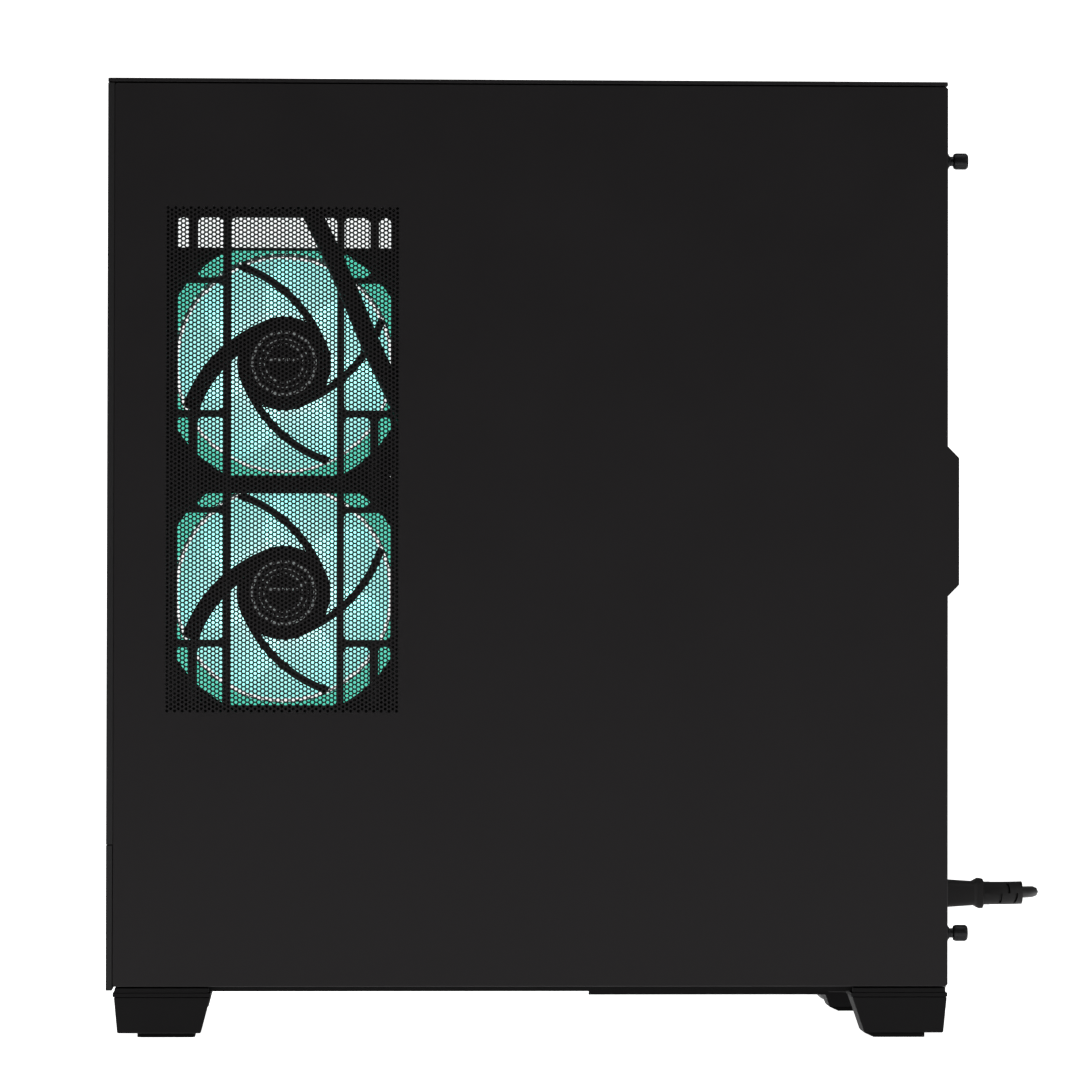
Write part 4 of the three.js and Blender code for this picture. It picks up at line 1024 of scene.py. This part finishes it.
def make_foot(end, side, top, bottom, pad):
    """A tapered foot, the collar where it meets the case, and the pad under it."""
    x = sorted((side * (FACE - 32 * MM), side * (FACE - 2 * MM)))
    name = "right" if side > 0 else "left"
    bm = bmesh.new()
    tapered(bm, x, top, bottom, (PAD_TOP, COLLAR_LOW))
    finished(f"{end}_{name}_foot_body", bm, foot_plastic, bevel=0.7 * MM,
             replaces=[f"{end}_{name}_foot"])
    bm = bmesh.new()
    add_block(bm, (x[0] - 0.5 * MM, x[1] + 0.5 * MM), (top[0] - 0.6 * MM, top[1] + 0.2 * MM),
              (COLLAR_LOW, FOOT_TOP))
    if side > 0:
        add_block(bm, (FACE - 8.8 * MM, FACE - 1.6 * MM), (top[0] + 0.4 * MM, top[1] - 0.8 * MM),
                  (FOOT_TOP, PANEL_LOW.z - 0.7 * MM))
    finished(f"{end}_{name}_foot_collar", bm, foot_plastic, bevel=0.4 * MM)
    bm = bmesh.new()
    if end == "rear":
        made = add_block(bm, (x[0] + 1.2 * MM, x[1] - 1.2 * MM), pad, (0, PAD_TOP))
        for v in made:
            if v.co.z > 1 * MM and v.co.y < sum(pad) / 2:
                v.co.y = bottom[0]
    else:
        pad_x = (x[0] + 4 * MM, x[1] - 4 * MM)
        add_outline(bm, rounded_points(pad_x, pad, 3 * MM), "z", 0, PAD_TOP)
    finished(f"{end}_{name}_pad", bm, pad_rubber, bevel=0.3 * MM,
             replaces=[f"{end}_{name}_foot_pad"])


def make_feet():
    at = lambda base, *span: tuple(base + s * MM for s in span)
    for side in (-1, 1):
        make_foot("front", side, at(FRONT, 4.2, 55), at(FRONT, 6, 50), at(FRONT, 16.5, 47))
        make_foot("rear", side, at(REAR, -50.5, -0.2), at(REAR, -44, -2), at(REAR, -39, -12))


def make_top_cover():
    """The top panel: a sheet with a rounded rim, a grille of slots in it, and a dust mesh."""
    bm = bmesh.new()
    low, high = TOP_LOW.z, TOP_HIGH.z
    x, y = (-58 * MM, 78 * MM), (FRONT + 36 * MM, REAR - 30 * MM)
    rim = rounded_points((-FACE, FACE), (FRONT, REAR), 1.5 * MM, 3)
    hole = rounded_points(x, y, 6 * MM, 3)
    add_flat_frame(bm, rim, hole, lambda u, v, end: (u, v, end), (low, high))
    finished("top_cover_sheet", bm, powder_coat, "top_cover", bevel=0.35 * MM, replaces=["top_panel"])
    bm = bmesh.new()
    pitch, half, crossings = 4.4 * MM, 1 * MM, 9
    for i in range(int((x[1] - x[0]) / pitch)):
        u = x[0] + (i + 0.5) * pitch
        add_block(bm, (u - half, u + half), (y[0] - half, y[1] + half),
                  (low + 0.5 * MM, high - 0.7 * MM))
    for i in range(crossings):
        v = y[0] + (i + 0.5) * (y[1] - y[0]) / crossings
        add_block(bm, (x[0] - half, x[1] + half), (v - half, v + half),
                  (low + 0.2 * MM, high - 1.1 * MM))
    finished("top_grille", bm, powder_coat, "top_cover")
    bm = bmesh.new()
    add_block(bm, (x[0], x[1]), (y[0], y[1]), (low - 0.3 * MM, low - 0.1 * MM))
    finished("top_dust_mesh", bm, fine_mesh("top_mesh", 0.0016), "top_cover")


def fine_mesh(name, pitch):
    """A woven dust mesh: dark threads with clear holes between them."""
    material, shader = new_material(name, (0.012, 0.012, 0.012), 0.7)
    tree = material.node_tree
    place = tree.nodes.new("ShaderNodeTexCoord")
    threads = []
    for axis in ((1, 0, 0), (0, 1, 0)):
        along = tree.nodes.new("ShaderNodeVectorMath")
        along.operation = "DOT_PRODUCT"
        along.inputs[1].default_value = axis
        tree.links.new(place.outputs["Object"], along.inputs[0])
        wave = tree.nodes.new("ShaderNodeMath")
        wave.operation = "PINGPONG"
        wave.inputs[1].default_value = pitch / 2
        tree.links.new(along.outputs["Value"], wave.inputs[0])
        threads.append(wave.outputs["Value"])
    nearer = tree.nodes.new("ShaderNodeMath")
    nearer.operation = "MINIMUM"
    tree.links.new(threads[0], nearer.inputs[0])
    tree.links.new(threads[1], nearer.inputs[1])
    thread = tree.nodes.new("ShaderNodeMath")
    thread.operation = "LESS_THAN"
    thread.inputs[1].default_value = pitch * 0.19
    tree.links.new(nearer.outputs["Value"], thread.inputs[0])
    tree.links.new(thread.outputs["Value"], shader.inputs["Alpha"])
    return material


def make_front_trim():
    """Rims round the two buttons, the power button's lit ring, and the sockets' insides."""
    power_x, reset_x, audio_x, height = mm(84, 64, -15, 62.7)
    bm = bmesh.new()
    for x, radius in ((power_x, 7.4), (reset_x, 4)):
        add_washer(bm, mm(radius - 0.6, radius), (FRONT, FRONT + 0.4 * MM), "y", (x, 0, height), 36)
    finished("button_rims", bm, gloss_black)
    bm = bmesh.new()
    face = FRONT + 1.2 * MM
    ring = [(2.6 * MM, face - 0.4 * MM), (3 * MM, face - 0.5 * MM), (3 * MM, face - 0.8 * MM),
            (2.6 * MM, face - 0.8 * MM), (2.6 * MM, face - 0.4 * MM)]
    add_turned(bm, ring, "y", (power_x, 0, height), 36)
    finished("power_ring", bm, pump_glow, "power_button")
    bm = bmesh.new()
    deep = (FRONT + 2 * MM, FRONT + 9 * MM)
    for x in (42, 20):
        add_block(bm, mm(x - 5.4, x + 5.4), deep, mm(61.4, 62.5))
    add_block(bm, mm(1 - 3.1, 1 + 3.1), deep, mm(62.35, 63.05))
    finished("socket_tongues", bm, socket_black)
    bm = bmesh.new()
    add_washer(bm, mm(1.8, 2.9), (FRONT + 0.9 * MM, FRONT + 8 * MM), "y", (audio_x, 0, height), 28)
    finished("audio_socket", bm, grey_metal)


def make_glass():
    """Black printed borders inside the two panes, and the dark edges of the front one."""
    z = (102.1 * MM, PANEL_HIGH.z)
    y = (FRONT + 3.6 * MM, REAR)
    edge, thin = 0.35 * MM, 0.25 * MM
    bm = bmesh.new()
    for cut, wide in ((FACE - 0.3 * MM, 1), (-FACE + 0.3 * MM, -1)):
        add_block(bm, sorted((cut, cut + wide * thin)), (FRONT, FRONT + 3.3 * MM), z)
    for w in z:
        add_block(bm, (-FACE + 0.3 * MM, FACE - 0.3 * MM),
                  (FRONT - 0.02 * MM, FRONT + 3.22 * MM), (w - thin, w + 0.02 * MM))
    inside = FRONT + 3.25 * MM
    for span in ((-FACE + 0.4 * MM, -FACE + 15 * MM), (FACE - 24 * MM, FACE - 0.4 * MM)):
        add_block(bm, span, (inside, inside + edge), z)
    for low, high in ((z[0], z[0] + 10 * MM), (z[1] - 14 * MM, z[1])):
        add_block(bm, (-FACE + 15 * MM, FACE - 24 * MM), (inside, inside + edge), (low, high))
    finished("front_glass_border", bm, moulded_black, "front_window")
    bm = bmesh.new()
    inside = -FACE + 3.25 * MM
    for span in ((y[0], y[0] + 12 * MM), (y[1] - 14 * MM, y[1])):
        add_block(bm, (inside, inside + edge), span, z)
    for low, high in ((z[0], z[0] + 8 * MM), (z[1] - 10 * MM, z[1])):
        add_block(bm, (inside, inside + edge), (y[0] + 12 * MM, y[1] - 14 * MM), (low, high))
    finished("window_border", bm, moulded_black, "window")


make_feet()
make_top_cover()
make_front_trim()
make_glass()


# ------------------------------------------------------------------ inside and behind
BOARD_IN = 86.4 * MM
BOARD_REAR = 212.9 * MM
SLOT_HEIGHTS = [z for z in (258.5 - 20.32 * k for k in range(7)) if not 204 < z < 262]


def make_dust_filter():
    """The drawer filter under the supply: a frame of five bars and three rails, and its mesh."""
    low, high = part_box("dust_filter")
    bm = bmesh.new()
    z = (low.z + 0.2 * MM, high.z)
    for span in ((low.x, low.x + 6 * MM), (-1.5 * MM, 1.5 * MM), (high.x - 6 * MM, high.x)):
        add_block(bm, span, (low.y + 5 * MM, high.y), z)
    spaces = 4
    for k in range(spaces + 1):
        start = low.y + 5.4 * MM + k * (high.y - low.y - 13.8 * MM) / spaces
        wide = 8 * MM if k == spaces else 3 * MM
        add_block(bm, (low.x + 0.5 * MM, high.x - 0.5 * MM), (start, start + wide),
                  (z[0] + 0.2 * MM, z[1] - 0.2 * MM))
    finished("filter_frame", bm, moulded_black, "filter", bevel=0.3 * MM, replaces=["dust_filter"])
    bm = bmesh.new()
    add_block(bm, (low.x + 2 * MM, high.x - 2 * MM), (low.y + 7 * MM, high.y - 3 * MM),
              (high.z - 1.2 * MM, high.z - 1.0 * MM))
    finished("filter_mesh", bm, fine_mesh("filter_weave", 0.0012), "filter")


def make_memory():
    """Two memory modules in ribbed spreaders, each with a lit bar along its edge."""
    for k, y in ((1, 2.9), (2, 20.9)):
        bm = bmesh.new()
        add_block(bm, mm(46, 81.9), mm(y - 3, y + 3), mm(287.2, 420))
        for i in range(6):
            z = 296 + i * 21.5
            for side in (-1, 1):
                add_block(bm, mm(50, 74), sorted(mm(y + side * 3, y + side * 3.5)), mm(z, z + 13))
        finished(f"memory_spreader_{k}", bm, anodised, bevel=0.3 * MM, replaces=[f"memory_module_{k}"])
        bm = bmesh.new()
        add_block(bm, mm(43.8, 46), mm(y - 3, y + 3), mm(288, 419))
        finished(f"memory_light_bar_{k}", bm, pump_glow, bevel=0.6 * MM)


def make_board_parts():
    """Coils, capacitors, sockets and covers on the motherboard."""
    face = BOARD_IN
    foot = face - 0.01 * MM
    bm = bmesh.new()
    for i in range(8):
        add_block(bm, (face - 6.5 * MM, foot), mm(143, 151), mm(300 + i * 12.6, 309 + i * 12.6))
    for i in range(4):
        add_block(bm, (face - 6.5 * MM, foot), mm(84 + i * 13, 93 + i * 13), mm(388, 397))
    finished("board_coils", bm, grey_metal, bevel=0.6 * MM)
    bm = bmesh.new()
    for y, z in [(137, 302 + 12.6 * i) for i in range(8)] + [(200 - 9 * i, 135) for i in range(5)]:
        can = [(0, face - 8 * MM), (2.6 * MM, face - 8 * MM), (3 * MM, face - 7.6 * MM),
               (3 * MM, foot), (0, foot)]
        add_turned(bm, can, "x", (0, y * MM, z * MM), 14)
    finished("board_capacitors", bm, grey_metal)
    bm = bmesh.new()
    add_block(bm, (face - 11 * MM, foot), mm(-29.5, -21), mm(330, 383))
    add_block(bm, (face - 9 * MM, foot), mm(168, 188), mm(423, 431))
    for i in range(4):
        add_block(bm, (face - 9 * MM, foot), mm(-29.5, -19), mm(196 + i * 9, 203 + i * 9))
    for i in range(6):
        add_block(bm, (face - 6 * MM, foot), mm(10 + i * 26, 28 + i * 26), mm(129.5, 134))
    finished("board_sockets", bm, socket_black, bevel=0.3 * MM)
    bm = bmesh.new()
    for y, z in (((48, 158), 147), ((52, 146), 268)):
        add_block(bm, (face - 8 * MM, face - 0.6 * MM), mm(*y), mm(z, z + 15))
    add_block(bm, (face - 38.4 * MM, face - 1 * MM), mm(184, 186.6), mm(272, 420))
    finished("board_covers", bm, anodised, bevel=0.8 * MM)


def make_rear_ports():
    """Blank sockets in the board's rear block: no marks, just their shells and tongues; the dark wells are
    partly the sockets' black plastic and partly painted shade of their hollows.
    """
    inside, out = BOARD_REAR - 2 * MM, BOARD_REAR + 1.3 * MM
    shells, wells = bmesh.new(), bmesh.new()

    def socket(x, z, wide, high):
        add_block(shells, mm(x - wide / 2, x + wide / 2), (inside, out),
                  mm(z - high / 2, z + high / 2))
        # Each well is a dark block that fills the socket's mouth: the socket's black plastic, with painted
        # shade in place of its hollow.
        add_block(wells, mm(x - wide / 2 + 0.7, x + wide / 2 - 0.7), (out - 1 * MM, out + 0.05 * MM),
                  mm(z - high / 2 + 0.7, z + high / 2 - 0.7))

    for z in (408, 400, 380, 372, 352, 344):
        socket(67, z, 13.4, 6)
    socket(67, 388, 9, 3.4)
    socket(66.5, 324, 16, 13)
    socket(67, 306, 15, 5.4)
    for z in (292, 282):
        for x in (59, 73):
            add_washer(shells, mm(1.8, 3.4), (inside, out), "y", (x * MM, 0, z * MM), 20)
    finished("port_shells", shells, grey_metal)
    finished("port_wells_plastic_and_painted_shade", wells, socket_black)


def make_port_shield():
    """The thin frame that closes the gap between the board's sockets and the case's opening."""
    bm = bmesh.new()
    rim = rounded_points(mm(44, 88.1), mm(263, 426), 1 * MM, 3)
    hole = rounded_points(mm(53.5, 79), mm(276, 414), 1.5 * MM, 3)
    add_flat_frame(bm, rim, hole, lambda u, v, end: (u, end, v), mm(213.05, 213.75))
    finished("port_shield", bm, chassis_steel)


def make_slot_covers():
    """Blank covers for the free card slots, each with two rows of round-ended openings, drawn as flat dark
    shapes: painted shade where the holes would be.
    """
    bm = bmesh.new()
    for z in SLOT_HEIGHTS:
        add_block(bm, mm(-20, 84), mm(215.3, 216), mm(z - 9.2, z + 9.2))
    finished("slot_covers", bm, chassis_steel, bevel=0.3 * MM)
    bm = bmesh.new()
    # The openings are not cut: thin dark shapes on the cover are painted shade standing for the holes.
    for z in SLOT_HEIGHTS:
        for i in range(8):
            for row in (mm(z - 5.5, z - 2), mm(z + 2, z + 5.5)):
                opening = rounded_points(row, mm(-10 + i * 11, -2 + i * 11), 1.7 * MM, 3)
                add_outline(bm, opening, "y", *mm(216, 216.08))
    finished("slot_cover_painted_shade_openings", bm, socket_black)


def make_rear_details():
    """Round heads of the screws that hold the rear fan and the supply."""
    bm = bmesh.new()
    head = [(r * MM, y * MM) for r, y in ((0, 215.15), (3.4, 215.15), (3.2, 216.2), (2.2, 216.9),
                                          (1.2, 217), (1.1, 216.4), (0, 216.4))]
    spots = [(REAR_FAN[0] + FAN_SCREW * u, REAR_FAN[1] + FAN_SCREW * v)
             for u in (-1, 1) for v in (-1, 1)]
    spots += [(-55, 106.7), (83, 106.7), (-55, 32.7), (83, 45)]
    for x, z in spots:
        add_turned(bm, head, "y", (x * MM, 0, z * MM), 20)
    finished("rear_screws", bm, screw_black)


def make_supply_details():
    """The ring guard under the supply's fan, and the round-ended vents in its rear wall, drawn as flat dark
    shapes: painted shade where the holes would be.
    """
    bm = bmesh.new()
    low = 26.7 * MM
    for radius in range(12, 62, 8):
        add_washer(bm, mm(radius - 0.7, radius + 0.7), (low - 0.9 * MM, low + 0.4 * MM), "z",
                   (14 * MM, 138.6 * MM, 0), 48)
    finished("supply_guard", bm, screw_black)
    # The vents are not cut: thin dark shapes on the wall are painted shade standing for the holes.
    bm = bmesh.new()
    for i in range(24):
        for j in range(2):
            x = -52 + i * 5.6
            for row in (82, 36):
                if -40 < x < 12 and row > 60:
                    continue
                z = row + j * 11
                opening = rounded_points(mm(z, z + 9), mm(x - 1.8, x + 1.8), 1.7 * MM, 2)
                add_outline(bm, opening, "y", *mm(213.62, 213.72))
    finished("supply_vents_painted_shade", bm, socket_black)


def make_card_details():
    """A metal back plate, trims and a plain lit line on the graphics card."""
    bm = bmesh.new()
    add_block(bm, mm(-34.6, 80), mm(-57, 206), mm(258.05, 259.4))
    finished("card_back_plate", bm, anodised, bevel=0.4 * MM)
    bm = bmesh.new()
    for start in (-50, 40, 130):
        slant = [mm(start, 214), mm(start + 60, 214), mm(start + 70, 248), mm(start + 10, 248)]
        add_outline(bm, slant, "x", *mm(-36.8, -35.4))
    finished("card_side_trims", bm, anodised, bevel=0.4 * MM)
    bm = bmesh.new()
    add_block(bm, mm(-36.2, -35.4), mm(-52, 200), mm(251.5, 253.5))
    finished("card_light_line", bm, pump_glow, bevel=0.2 * MM)


def make_radiator_fins():
    """The flat tubes and the thin fins across them, on the radiator's upper face."""
    bm = bmesh.new()
    for side in (-1, 1):
        for i in range(11):
            x = 10 + side * (i + 0.5) * 5.2
            add_block(bm, mm(x - 1, x + 1), mm(-66, 182), mm(498.95, 499.15))
    for i in range(80):
        y = -65 + i * 3.1
        add_block(bm, mm(-46, 66), mm(y - 0.15, y + 0.15), mm(498.9, 499.1))
    finished("radiator_fins", bm, anodised)


def make_pump_cap():
    """The pump's round cap and the lit ring round it."""
    bm = bmesh.new()
    centre = (0, 111.9 * MM, 365 * MM)
    top = BOARD_IN - 48 * MM
    foot = top + 0.2 * MM
    add_washer(bm, mm(23, 26), (top - 0.4 * MM, foot), "x", centre, 56)
    finished("pump_light_ring", bm, pump_glow)
    bm = bmesh.new()
    cap = [(0, top - 0.8 * MM), (20 * MM, top - 0.8 * MM), (21 * MM, top - 0.3 * MM),
           (21 * MM, foot), (0, foot)]
    add_turned(bm, cap, "x", centre, 56)
    finished("pump_cap", bm, gloss_black)


def finish_cad_parts():
    """The CAD parts that keep their own shape."""
    finishes = {
        # Painted shade: the base plate gets the darker copy of the chassis coat.
        painted_shade_base_coat: ("base_plate",),
        chassis_steel: ("rear_panel", "top_frame", "front_frame", "motherboard_tray",
                        "side_fan_bracket", "power_supply_shroud"),
        powder_coat: ("left_lower_skirt",),
        moulded_black: ("front_lower_trim", "graphics_card", "graphics_fan_front", "graphics_fan_rear",
                        "power_supply_fan"),
        gloss_black: ("power_button", "reset_button", "processor_pump_block", "rocker_switch"),
        board_mask: ("front_socket_board", "motherboard"),
        anodised: ("regulator_heatsink", "chipset_heatsink", "radiator"),
        sleeve_black: ("coolant_tube_outlet", "coolant_tube_inlet"),
        supply_coat: ("power_supply",),
        window_glass: ("left_glass_panel",),
        front_glass: ("front_glass_panel",),
    }
    for material, nodes in finishes.items():
        for node in nodes:
            use_finish(node, material)


make_dust_filter()
make_memory()
make_board_parts()
make_rear_ports()
make_port_shield()
make_slot_covers()
make_rear_details()
make_supply_details()
make_card_details()
make_radiator_fins()
make_pump_cap()
finish_cad_parts()
